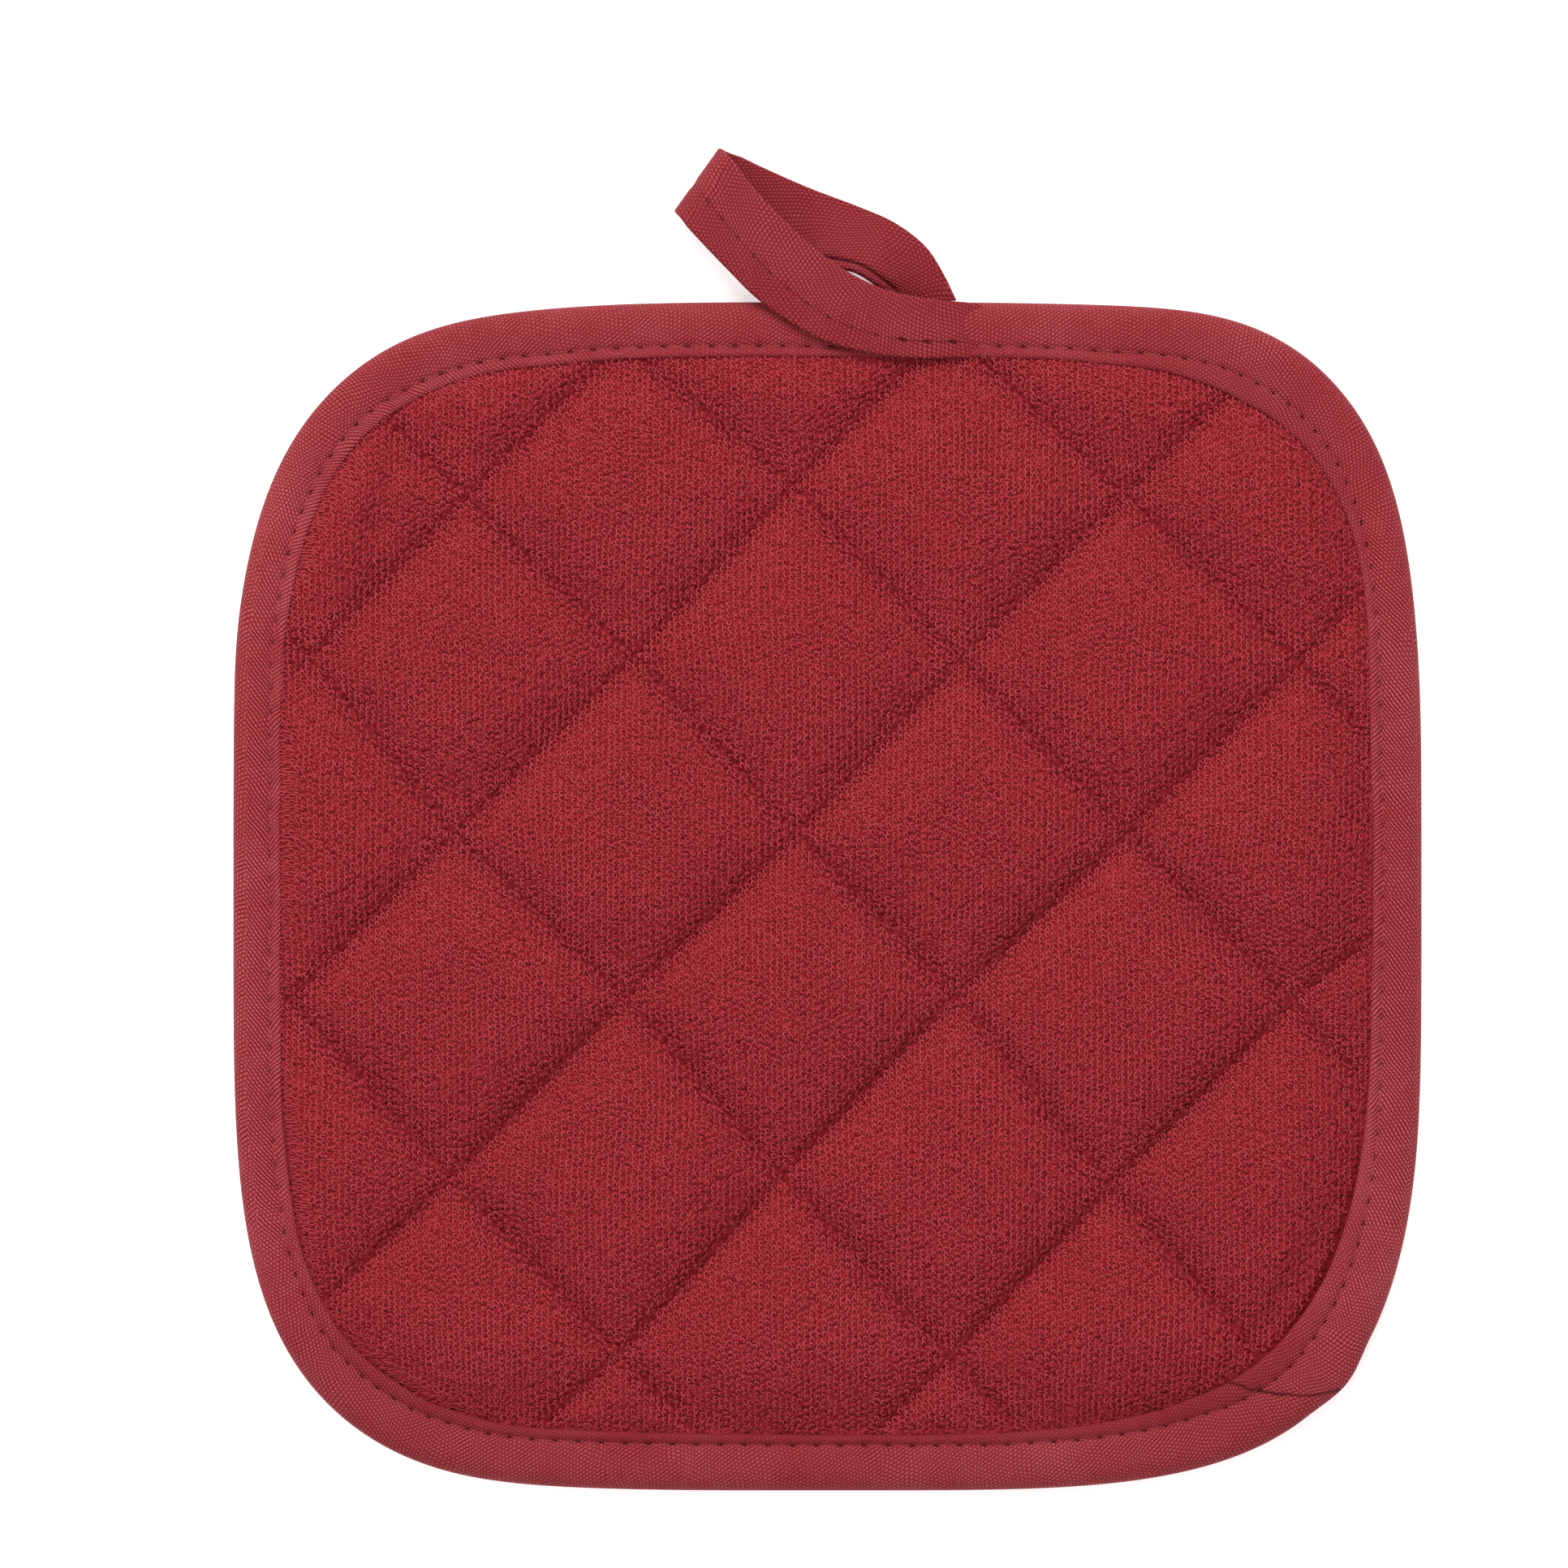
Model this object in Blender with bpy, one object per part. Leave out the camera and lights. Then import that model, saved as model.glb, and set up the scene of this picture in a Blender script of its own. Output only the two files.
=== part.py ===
"""Quilted terry pot holder with a bound edge and a hanging loop of the same tape.

The pot holder lies on its back. +X runs to its right, +Y towards the edge with the loop and +Z out
of its face. The origin is on the surface, below the middle of the pad. Lengths below are in
millimetres, and MM turns them into the metres of the meshes.

Run with: blender --background --python part.py
"""
import math

import bmesh
import bpy
import numpy as np
from mathutils import Vector
from mathutils.geometry import delaunay_2d_cdt

MM = 0.001

# Outline: a superellipse whose corners differ a little from one another.
HALF_SIZE = 82.55
POWER_RIGHT_TOP = 4.4
POWER_LEFT_TOP = 4.0
POWER_LEFT_BOTTOM = 4.15
POWER_RIGHT_BOTTOM = 4.1
OUTLINE_STATIONS = 112
OUTLINE_SAMPLES = 2880

# Binding tape, folded over the pad's edge. Its visible width differs from side to side.
WIDTH_LEFT = 6.7
WIDTH_RIGHT = 7.05
WIDTH_TOP = 7.7
WIDTH_BOTTOM = 7.9
# It is wider round the corners. (side in x, side in y): width added at that corner
CORNER_WIDENING = {(1, 1): 1.7, (-1, 1): 0.75, (-1, -1): 1.05, (1, -1): 3.05}
CORNER_SPREAD = 0.8
# Where the edge leaves that outline, by the angle anticlockwise from +X.
# (angle and reach in degrees, further out by, tape wider by)
OUTLINE_STRAYS = [
    (30, 9, -0.25, -0.65), (54, 9, 1.25, 1.25), (126, 8, 0.6, 0.0),
    (156, 7, 0.28, 0.0), (236, 9, 0.65, 0.0), (324, 9, -0.35, 0.0),
]

# Where the tape's two ends meet on the slant, at the lower right.
JOIN_PLACE = (70.9, -66.6)
JOIN_REACH = 4.5
JOIN_BULGE = 0.8
JOIN_RAISE = 0.35

# Heights of the pad. The face is puffed up between its seams and the back lies flat.
FACE_CROWN = 8.6
FACE_SEAM = 5.3
FACE_RIM = 4.7
BACK_SEAM = 1.1
BACK_RIM = 1.3
PUFF_REACH = 16.0
PUFF_POWER = 3.0
RIM_REACH = 9.0
RIM_POWER = 2.2
BACK_GROOVE_REACH = 2.4
BACK_RIM_REACH = 3.0

# Spacing of the pad's mesh.
SEAM_STEP = 4.6
FACE_SEAM_OFFSETS = (1.0, 2.4, 4.6, 7.6)
BACK_SEAM_OFFSETS = (BACK_GROOVE_REACH,)
FACE_LIP_OFFSETS = (0.7, 2.2, 4.6)
BACK_LIP_OFFSETS = (BACK_RIM_REACH,)
FACE_FILL = 4.2
BACK_FILL = 7.0
UNDER_BINDING = 3.0

# Quilting seams. Rising seams are A to E and falling seams a to e, each named from the top left.
SEAM_CROSSINGS = {
    "Aa": (-49.9, 56.1), "Ad": (-71.6, 33.8),
    "Bb": (-4.3, 57.8), "Ba": (-26.7, 34.0), "Bd": (-51.3, 9.4), "Be": (-74.1, -13.6),
    "Cc": (41.6, 56.5), "Cb": (18.9, 33.6), "Ca": (-3.8, 9.5), "Cd": (-27.6, -13.4),
    "Ce": (-52.0, -38.5), "Dc": (65.8, 33.3), "Db": (42.0, 9.4), "Da": (18.2, -13.1),
    "Dd": (-6.0, -38.0), "De": (-28.6, -62.9), "Eb": (64.7, -14.1), "Ea": (39.7, -39.5),
    "Ed": (17.2, -63.4),
}
# seam: (upper end, its crossings from the top, lower end); an end is None at a crossing
RISING_SEAMS = {
    "A": ((-31.8, 74.1), "Aa Ad", None),
    "B": ((11.6, 74.3), "Bb Ba Bd Be", None),
    "C": ((55.5, 70.0), "Cc Cb Ca Cd Ce", (-68.7, -54.7)),
    "D": ((73.5, 41.6), "Dc Db Da Dd De", (-38.8, -72.2)),
    "E": ((75.6, -5.1), "Eb Ea Ed", (7.4, -73.5)),
}
FALLING_SEAMS = {
    "a": ((-60.0, 66.1), "Aa Ba Ca Da Ea", (59.2, -61.5)),
    "b": ((-23.8, 73.8), "Bb Cb Db Eb", (75.0, -24.9)),
    "c": ((22.8, 74.0), "Cc Dc", (75.6, 22.5)),
    "d": (None, "Ad Bd Cd Dd Ed", (26.0, -72.2)),
    "e": (None, "Be Ce De", (-18.0, -73.5)),
}
# Small creases that the sewing left beside the binding.
PUCKERS = [
    dict(start=(-59.1, 62.0), end=(-62.4, 51.0), depth=1.0, reach=3.2),
    dict(start=(-51.6, 67.4), end=(-53.2, 59.0), depth=0.8, reach=3.0),
    dict(start=(71.6, -43.0), end=(57.0, -66.0), depth=1.0, reach=3.4),
    dict(start=(-2.0, -73.0), end=(-1.0, -66.5), depth=0.7, reach=3.0),
]

# Binding section, from the back lip round the edge to the face lip and back along the inside.
# The sewn groove on the face leaves a lip that takes up part of the widening at the corners.
# (part of the width, part of the widening, distance from the outer edge to add to both, height)
BINDING_SECTION = [
    (1.0, 0.0, 0.0, 0.0), (0.0, 0.0, 2.2, 0.0), (0.0, 0.0, 0.7, 0.5), (0.0, 0.0, 0.1, 1.8),
    (0.0, 0.0, 0.0, 3.1), (0.0, 0.0, 0.25, 4.5), (0.0, 0.0, 1.1, 5.6), (0.0, 0.0, 2.6, 6.0),
    (0.5, 0.0, 0.3, 6.1), (1.0, -0.62, -2.2, 5.9), (1.0, -0.62, -1.5, 5.6),
    (1.0, -0.31, -0.7, 6.15), (1.0, 0.0, 0.0, 5.85), (1.0, 0.0, 0.0, 5.05),
    (0.0, 0.0, 2.6, 5.0), (0.0, 0.0, 1.5, 4.5), (0.0, 0.0, 1.35, 3.1), (0.0, 0.0, 1.5, 1.6),
    (0.0, 0.0, 2.6, 1.05), (1.0, 0.0, 0.0, 1.0),
]
FACE_SIDE_ROWS = range(6, 13)
# Pad rim inside the binding: (distance from the outer edge, height), from the face to the back.
RIM_INSET = 2.9
PAD_RIM = [(1.95, 4.15), (1.65, 3.0), (1.95, 1.85)]

# Hanging loop: a strip of folded tape. Each row is one line across it.
LOOP_THICKNESS = 1.1
LOOP_SUBSTEPS = 2
SEWN_END_TAPER = 0.7
# (outer edge x, y, z, inner edge x, y, z), from the sewn front end to the fold
LOOP_FRONT = [
    (21.6, 82.2, 6.75, 21.5, 74.5, 7.05),
    (17.5, 82.4, 6.85, 17.0, 74.5, 7.05),
    (13.0, 83.0, 6.9, 11.5, 74.6, 7.05),
    (8.7, 83.9, 6.9, 5.0, 75.4, 7.05),
    (4.8, 85.5, 6.85, -1.0, 77.2, 7.05),
    (0.8, 87.9, 6.75, -6.2, 80.2, 6.95),
    (-2.9, 90.8, 6.6, -10.2, 83.2, 6.8),
    (-6.4, 94.1, 6.45, -13.4, 86.4, 6.5),
    (-9.8, 97.7, 6.35, -16.3, 89.4, 6.35),
]
# The fold: its outermost line, the radius of the turn and how far the strip slides along the line.
FOLD_UPPER = (-15.05, 103.85)
FOLD_LOWER = (-21.15, 95.3)
FOLD_TOP = 6.25
FOLD_BOTTOM = 0.62
FOLD_SLIDE = 0.296
FOLD_STEPS = 8
# (outer edge x, y, z, inner edge x, y, z), from the fold to the edge of the pad
LOOP_BACK = [
    (-9.0, 101.5, 0.62, -14.2, 92.6, 0.62),
    (-2.9, 98.8, 0.62, -7.2, 90.0, 0.75),
    (4.0, 96.1, 0.62, -1.4, 88.3, 3.4),
    (9.2, 93.8, 0.62, 3.6, 87.0, 4.0),
    (13.4, 90.7, 0.62, 6.8, 85.3, 3.2),
    (15.9, 87.2, 0.62, 8.6, 84.3, 1.8),
    (18.0, 83.0, 0.62, 9.6, 83.1, 0.62),
]
# Section of the strip: (part of the width from its middle, part of the thickness)
LOOP_SECTION = [
    (-0.5, 0.0), (-0.46, 0.5), (0.0, 0.5), (0.46, 0.5),
    (0.5, 0.0), (0.46, -0.5), (0.0, -0.5), (-0.46, -0.5),
]

TERRY_COLOUR = (143, 42, 47)
TAPE_COLOUR = (158, 60, 66)
SMOOTH_ANGLE = math.radians(40.0)


def linear(colour):
    """A display colour in 0 to 255 as the linear values of a shader."""
    shares = [value / 255 for value in colour]
    return [s / 12.92 if s <= 0.04045 else ((s + 0.055) / 1.055) ** 2.4 for s in shares]


def fabric_material(name, colour, roughness):
    material = bpy.data.materials.new(name)
    material.use_nodes = True
    shader = material.node_tree.nodes["Principled BSDF"]
    shader.inputs["Base Color"].default_value = (*linear(colour), 1.0)
    shader.inputs["Roughness"].default_value = roughness
    shader.inputs["Metallic"].default_value = 0.0
    return material


# ---------------------------------------------------------------- outline

def corner_power(x, y):
    if y >= 0:
        return POWER_RIGHT_TOP if x >= 0 else POWER_LEFT_TOP
    return POWER_RIGHT_BOTTOM if x >= 0 else POWER_LEFT_BOTTOM


def superellipse_point(angle):
    along = math.cos(angle)
    up = math.sin(angle)
    share = 2 / corner_power(along, up)
    x = HALF_SIZE * math.copysign(abs(along) ** share, along)
    y = HALF_SIZE * math.copysign(abs(up) ** share, up)
    return x, y


def strayed(places, column):
    """How much further out (column 0) or wider (column 1) the edge is than its plain outline."""
    angle = np.degrees(np.arctan2(places[:, 1], places[:, 0])) % 360
    total = np.zeros(len(places))
    for middle, reach, *amounts in OUTLINE_STRAYS:
        total += amounts[column] * np.exp(-((angle - middle) / reach) ** 2)
    return total


def evenly_spaced(loop, count):
    """Points at even distances along a closed line of points."""
    closed = np.vstack([loop, loop[:1]])
    lengths = np.linalg.norm(np.diff(closed, axis=0), axis=1)
    reached = np.concatenate([[0.0], np.cumsum(lengths)])
    wanted = np.linspace(0.0, reached[-1], count, endpoint=False)
    columns = [np.interp(wanted, reached, closed[:, axis]) for axis in (0, 1)]
    return np.stack(columns, axis=1)


def outline_stations():
    """Places round the outer edge, anticlockwise, and the outward direction at each."""
    angles = np.linspace(0.0, 2 * math.pi, OUTLINE_SAMPLES, endpoint=False)
    loop = np.array([superellipse_point(angle) for angle in angles])
    loop *= 1 + (strayed(loop, 0) / np.linalg.norm(loop, axis=1))[:, None]
    places = evenly_spaced(loop, OUTLINE_STATIONS)
    along = np.roll(places, -1, axis=0) - np.roll(places, 1, axis=0)
    outward = np.stack([along[:, 1], -along[:, 0]], axis=1)
    outward /= np.linalg.norm(outward, axis=1)[:, None]
    return places, outward


def join_share(places):
    """1 at the tape's join and 0 away from it."""
    distance = np.linalg.norm(places - np.array(JOIN_PLACE), axis=1)
    return np.exp(-(distance / JOIN_REACH) ** 2)


def corner_widening(places, outward):
    """How much wider the binding is at its corners, where the edge faces the given way."""
    most = np.zeros(len(outward))
    for sides, added in CORNER_WIDENING.items():
        most[np.all(outward * np.array(sides) > 0, axis=1)] = added
    return most * np.abs(2 * outward[:, 0] * outward[:, 1]) ** CORNER_SPREAD + strayed(places, 1)


def binding_width(places, outward):
    """The visible width of the binding where the edge faces the given way."""
    side = np.where(outward[:, 0] > 0, WIDTH_RIGHT, WIDTH_LEFT)
    end = np.where(outward[:, 1] > 0, WIDTH_TOP, WIDTH_BOTTOM)
    return side + (end - side) * outward[:, 1] ** 2 + corner_widening(places, outward)


def inset_ring(places, outward, distance):
    return places - outward * np.reshape(distance, (-1, 1))


# ---------------------------------------------------------------- seams

def extended(end, neighbour):
    """The end of a seam, moved on to where the binding hides it."""
    end = np.array(end)
    direction = end - np.array(neighbour)
    return end + direction / np.linalg.norm(direction) * UNDER_BINDING


def seam_line(upper_end, crossing_names, lower_end):
    line = [np.array(SEAM_CROSSINGS[name]) for name in crossing_names.split()]
    first = extended(upper_end, line[0]) if upper_end else extended(line[0], line[1])
    last = extended(lower_end, line[-1]) if lower_end else extended(line[-1], line[-2])
    return [first, *line, last]


def seam_lines(table):
    return [seam_line(*row) for row in table.values()]


def distance_to_lines(points, lines):
    """Distance from each point to the nearest of several lines of straight pieces."""
    nearest = np.full(len(points), np.inf)
    for line in lines:
        for start, end in zip(line[:-1], line[1:]):
            start = np.asarray(start, dtype=float)
            piece = np.asarray(end, dtype=float) - start
            share = np.clip((points - start) @ piece / (piece @ piece), 0.0, 1.0)
            foot = start + share[:, None] * piece
            nearest = np.minimum(nearest, np.linalg.norm(points - foot, axis=1))
    return nearest


# ---------------------------------------------------------------- pad heights

def climb(distance, reach, power):
    """0 at a seam, rising fast and then levelling off to 1 at reach."""
    left = np.clip(1.0 - distance / reach, 0.0, 1.0)
    return 1.0 - left ** power


def pucker_depth(points):
    depth = np.zeros(len(points))
    for crease in PUCKERS:
        distance = distance_to_lines(points, [[crease["start"], crease["end"]]])
        depth += crease["depth"] * np.exp(-(distance / crease["reach"]) ** 2 * 2.0)
    return depth


class PadShape:
    """Heights of the pad's face and back over any place in its plan."""

    def __init__(self, places, outward):
        self.lip = inset_ring(places, outward, binding_width(places, outward))
        self.rising = seam_lines(RISING_SEAMS)
        self.falling = seam_lines(FALLING_SEAMS)

    def inside_lip(self, points):
        """Distance from the binding's inner edge, negative below the binding."""
        closed = [np.vstack([self.lip, self.lip[:1]])]
        distance = distance_to_lines(points, closed)
        return np.where(self.within(points), distance, -distance)

    def within(self, points):
        """Whether a line from each point to the right crosses the lip an odd number of times."""
        x, y = points[:, 0], points[:, 1]
        inside = np.zeros(len(points), dtype=bool)
        for start, end in zip(self.lip, np.roll(self.lip, -1, axis=0)):
            rise = end[1] - start[1]
            if rise:
                spans = (start[1] > y) != (end[1] > y)
                inside ^= spans & (x < start[0] + (y - start[1]) * (end[0] - start[0]) / rise)
        return inside

    def face(self, points):
        puff = climb(distance_to_lines(points, self.rising), PUFF_REACH, PUFF_POWER)
        puff *= climb(distance_to_lines(points, self.falling), PUFF_REACH, PUFF_POWER)
        quilted = FACE_SEAM + (FACE_CROWN - FACE_SEAM) * puff - pucker_depth(points)
        rim = climb(np.maximum(self.inside_lip(points), 0.0), RIM_REACH, RIM_POWER)
        return FACE_RIM + (np.maximum(quilted, FACE_RIM) - FACE_RIM) * rim

    def back(self, points):
        seam = distance_to_lines(points, self.rising + self.falling)
        groove = BACK_SEAM * np.clip(1.0 - seam / BACK_GROOVE_REACH, 0.0, 1.0)
        inside = np.maximum(self.inside_lip(points), 0.0)
        rim = BACK_RIM * np.clip(1.0 - inside / BACK_RIM_REACH, 0.0, 1.0)
        return np.maximum(groove, rim)


# ---------------------------------------------------------------- pad mesh

class Plan:
    """Points and fixed edges of one side of the pad, seen from above."""

    def __init__(self, ring):
        self.points = [tuple(point) for point in ring]
        count = len(ring)
        self.edges = [(i, (i + 1) % count) for i in range(count)]
        self.ring = list(range(count))

    def add(self, point, spacing):
        """The point's number, or None where another point is nearer than the spacing."""
        known = np.array(self.points)
        distance = np.linalg.norm(known - point, axis=1)
        nearest = int(np.argmin(distance))
        if distance[nearest] < 0.01:
            return nearest
        if distance[nearest] < spacing:
            return None
        self.points.append(tuple(point))
        return len(self.points) - 1

    def add_chain(self, chain):
        numbers = [self.add(point, 0.3) for point in chain]
        numbers = [number for number in numbers if number is not None]
        self.edges += list(zip(numbers[:-1], numbers[1:]))

    def triangulated(self):
        """Corner points, triangles, and the new numbers of the outer ring's points."""
        flat = [Vector(point) for point in self.points]
        result = delaunay_2d_cdt(flat, self.edges, [self.ring], 1, 1e-5)
        corners, triangles, origins = result[0], result[2], result[3]
        renumbered = {}
        for new, old_numbers in enumerate(origins):
            for old in old_numbers:
                renumbered[old] = new
        ring = [renumbered[number] for number in self.ring]
        return np.array([tuple(corner) for corner in corners]), triangles, ring


def stepped(line, step):
    """A line of straight pieces with points added about every step."""
    points = [line[0]]
    for start, end in zip(line[:-1], line[1:]):
        count = max(1, round(np.linalg.norm(end - start) / step))
        points += [start + (end - start) * i / count for i in range(1, count + 1)]
    return points


def beside(line, offset):
    """Points at an offset beside each inner point of a line."""
    points = []
    for before, place, after in zip(line[:-2], line[1:-1], line[2:]):
        direction = (after - before) / np.linalg.norm(after - before)
        points.append(place + np.array([-direction[1], direction[0]]) * offset)
    return points


def pad_plan(shape, places, outward, seam_offsets, lip_offsets, fill):
    """One side's plan: seams first, then lines beside them, then an even fill."""
    plan = Plan(inset_ring(places, outward, RIM_INSET))
    width = binding_width(places, outward)
    lip = inset_ring(places, outward, width)
    plan.add_chain([*lip, lip[0]])
    lines = [stepped(line, SEAM_STEP) for line in shape.rising + shape.falling]
    for line in lines:
        plan.add_chain(line)
    candidates = []
    for offset in lip_offsets:
        ring = inset_ring(places, outward, width + offset)
        candidates += [(point, offset * 0.7) for point in ring]
    for offset in seam_offsets:
        for line in lines:
            both_sides = beside(line, offset) + beside(line, -offset)
            candidates += [(point, max(offset * 0.6, 0.8)) for point in both_sides]
    for crease in PUCKERS:
        line = stepped([np.array(crease["start"]), np.array(crease["end"])], SEAM_STEP)
        candidates += [(point, 1.2) for point in line]
    reach = np.arange(-HALF_SIZE, HALF_SIZE, fill)
    candidates += [(np.array([x, y]), fill * 0.72) for x in reach for y in reach]
    places_wanted = np.array([point for point, _ in candidates])
    depth = shape.inside_lip(places_wanted)
    for (point, spacing), inside in zip(candidates, depth):
        if inside > lip_offsets[0] * 0.9:
            plan.add(point, spacing)
    return plan.triangulated()


def pad_mesh(places, outward):
    shape = PadShape(places, outward)
    face = pad_plan(shape, places, outward, FACE_SEAM_OFFSETS, FACE_LIP_OFFSETS, FACE_FILL)
    back = pad_plan(shape, places, outward, BACK_SEAM_OFFSETS, BACK_LIP_OFFSETS, BACK_FILL)
    mesh = bmesh.new()
    rings = []
    for (corners, triangles, ring), heights in ((face, shape.face), (back, shape.back)):
        z = heights(corners)
        vertices = [mesh.verts.new((x * MM, y * MM, h * MM)) for (x, y), h in zip(corners, z)]
        for triangle in triangles:
            mesh.faces.new([vertices[number] for number in triangle])
        rings.append([vertices[number] for number in ring])
    rim = [rings[0]]
    for distance, height in PAD_RIM:
        row = inset_ring(places, outward, distance)
        rim.append([mesh.verts.new((x * MM, y * MM, height * MM)) for x, y in row])
    rim.append(rings[1])
    for upper, lower in zip(rim[:-1], rim[1:]):
        join_rings(mesh, upper, lower)
    return finished_mesh(mesh, "pad")


# ---------------------------------------------------------------- shared mesh steps

def join_rings(mesh, first, second):
    """Faces between two closed rings of vertices of the same count."""
    count = len(first)
    for i in range(count):
        after = (i + 1) % count
        mesh.faces.new((first[i], first[after], second[after], second[i]))


def finished_mesh(mesh, name):
    bmesh.ops.triangulate(mesh, faces=mesh.faces)
    bmesh.ops.recalc_face_normals(mesh, faces=mesh.faces)
    data = bpy.data.meshes.new(name)
    mesh.to_mesh(data)
    mesh.free()
    data.shade_smooth()
    data.set_sharp_from_angle(angle=SMOOTH_ANGLE)
    return data


def place_object(name, data, material):
    data.materials.append(material)
    bpy.context.scene.collection.objects.link(bpy.data.objects.new(name, data))


# ---------------------------------------------------------------- binding

def binding_mesh(places, outward):
    """The tape round the edge: a closed channel with a lip on the face and one on the back."""
    width = binding_width(places, outward)
    widening = corner_widening(places, outward)
    join = join_share(places)
    mesh = bmesh.new()
    rows = []
    for number, (share, widening_share, distance, height) in enumerate(BINDING_SECTION):
        on_outside = number <= FACE_SIDE_ROWS[-1]
        bulge = JOIN_BULGE * join * (1.0 - share) if on_outside else 0.0
        raised = JOIN_RAISE * join if number in FACE_SIDE_ROWS else 0.0
        inset = share * width + widening_share * widening + distance - bulge
        ring = inset_ring(places, outward, inset)
        heights = np.broadcast_to(height + raised, len(ring))
        corners = [(x * MM, y * MM, z * MM) for (x, y), z in zip(ring, heights)]
        rows.append([mesh.verts.new(corner) for corner in corners])
    for row, following in zip(rows, rows[1:] + rows[:1]):
        join_rings(mesh, row, following)
    return finished_mesh(mesh, "binding")


# ---------------------------------------------------------------- hanging loop

def fold_rows():
    """Lines across the strip round the fold, from the front leg's side to the back leg's."""
    upper = np.array(FOLD_UPPER)
    lower = np.array(FOLD_LOWER)
    along = (upper - lower) / np.linalg.norm(upper - lower)
    inward = np.array([along[1], -along[0]])
    radius = (FOLD_TOP - FOLD_BOTTOM) / 2
    rows = []
    for step in range(FOLD_STEPS + 1):
        angle = math.pi * step / FOLD_STEPS
        distance = LOOP_THICKNESS / 2 + radius * (1 - math.sin(angle))
        slide = FOLD_SLIDE * radius * (angle - math.pi / 2)
        height = FOLD_BOTTOM + radius * (1 + math.cos(angle))
        shift = inward * distance + along * slide
        rows.append((*(upper + shift), height, *(lower + shift), height))
    return rows


def smoothed(rows, substeps):
    """The rows with more rows between them, on a Catmull-Rom curve through them all."""
    rows = np.array(rows)
    padded = np.vstack([2 * rows[0] - rows[1], rows, 2 * rows[-1] - rows[-2]])
    result = []
    for i in range(1, len(padded) - 2):
        before, here, there, after = padded[i - 1:i + 3]
        for step in range(substeps):
            t = step / substeps
            blend = 2 * here + (there - before) * t
            blend = blend + (2 * before - 5 * here + 4 * there - after) * t ** 2
            blend = blend + (3 * here - before - 3 * there + after) * t ** 3
            result.append(blend / 2)
    result.append(rows[-1])
    return np.array(result)


def loop_mesh():
    rows = smoothed(LOOP_FRONT + fold_rows() + LOOP_BACK, LOOP_SUBSTEPS)
    outer, inner = rows[:, :3], rows[:, 3:]
    middle = (outer + inner) / 2
    travel = np.gradient(middle, axis=0)
    thickness = np.full(len(rows), LOOP_THICKNESS)
    thickness[0] *= SEWN_END_TAPER
    mesh = bmesh.new()
    rings = []
    for start, end, centre, direction, thick in zip(outer, inner, middle, travel, thickness):
        across = end - start
        normal = np.cross(across, direction)
        normal *= thick / np.linalg.norm(normal)
        ring = [centre + across * share + normal * depth for share, depth in LOOP_SECTION]
        rings.append([mesh.verts.new([value * MM for value in corner]) for corner in ring])
    for ring, following in zip(rings[:-1], rings[1:]):
        join_rings(mesh, ring, following)
    mesh.faces.new(rings[0])
    mesh.faces.new(rings[-1])
    return finished_mesh(mesh, "hanging_loop")


def main():
    for item in list(bpy.data.objects):
        bpy.data.objects.remove(item, do_unlink=True)
    terry = fabric_material("terry", TERRY_COLOUR, 0.95)
    tape = fabric_material("tape", TAPE_COLOUR, 0.8)
    places, outward = outline_stations()
    place_object("pad", pad_mesh(places, outward), terry)
    place_object("binding", binding_mesh(places, outward), tape)
    place_object("hanging_loop", loop_mesh(), tape)


main()
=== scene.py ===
"""Looks of the quilted terry pot holder: its pile, tape weave, stitches, light and camera.

Tables and sizes are in millimetres in the part's frame, and MM turns them into metres. +X runs to
the right of the face, +Y towards the edge with the hanging loop and +Z out of the face.
"""
import math

import bmesh
import bpy
import numpy as np
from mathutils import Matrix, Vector


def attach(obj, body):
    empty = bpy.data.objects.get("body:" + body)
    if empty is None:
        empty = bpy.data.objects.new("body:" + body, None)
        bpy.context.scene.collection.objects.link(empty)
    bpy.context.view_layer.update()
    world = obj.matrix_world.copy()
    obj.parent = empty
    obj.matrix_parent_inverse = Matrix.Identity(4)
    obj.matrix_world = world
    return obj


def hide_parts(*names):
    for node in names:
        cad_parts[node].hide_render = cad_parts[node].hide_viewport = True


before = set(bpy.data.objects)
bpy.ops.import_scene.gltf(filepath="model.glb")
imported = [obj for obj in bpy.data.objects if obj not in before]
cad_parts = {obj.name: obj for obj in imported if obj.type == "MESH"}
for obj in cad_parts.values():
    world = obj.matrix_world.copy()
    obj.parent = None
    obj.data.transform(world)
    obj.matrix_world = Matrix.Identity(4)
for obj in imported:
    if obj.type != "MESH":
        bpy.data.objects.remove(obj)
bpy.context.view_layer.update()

MM = 0.001

# -------- the photograph's frame
PHOTO_PIXELS = 1932
MM_PER_PIXEL = 0.1127
PAD_CENTRE_PIXEL = (1019.5, 1104.5)
LENS_MM = 200.0
SENSOR_MM = 36.0
FACE_LEVEL = 4.0
FLOOR_LEVEL = -0.2
FLOOR_GLOW = 0.5
SKY_STRENGTH = 0.58

# -------- outline and binding sizes
HALF_SIZE = 82.55
# (side in x, side in y): how square the outline is at that corner
CORNER_POWERS = {(1, 1): 4.4, (-1, 1): 4.0, (-1, -1): 4.15, (1, -1): 4.1}
OUTLINE_SAMPLES = 5760
STITCHES = 175
STATIONS_PER_STITCH = 5
LIP_STATIONS = 360
WIDTH_LEFT = 6.7
WIDTH_RIGHT = 7.05
WIDTH_TOP = 7.7
WIDTH_BOTTOM = 7.9
# (side in x, side in y): width added at that corner, where the tape bunches
CORNER_WIDENING = {(1, 1): 1.7, (-1, 1): 0.75, (-1, -1): 1.05, (1, -1): 3.05}
CORNER_SPREAD = 0.8
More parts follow.
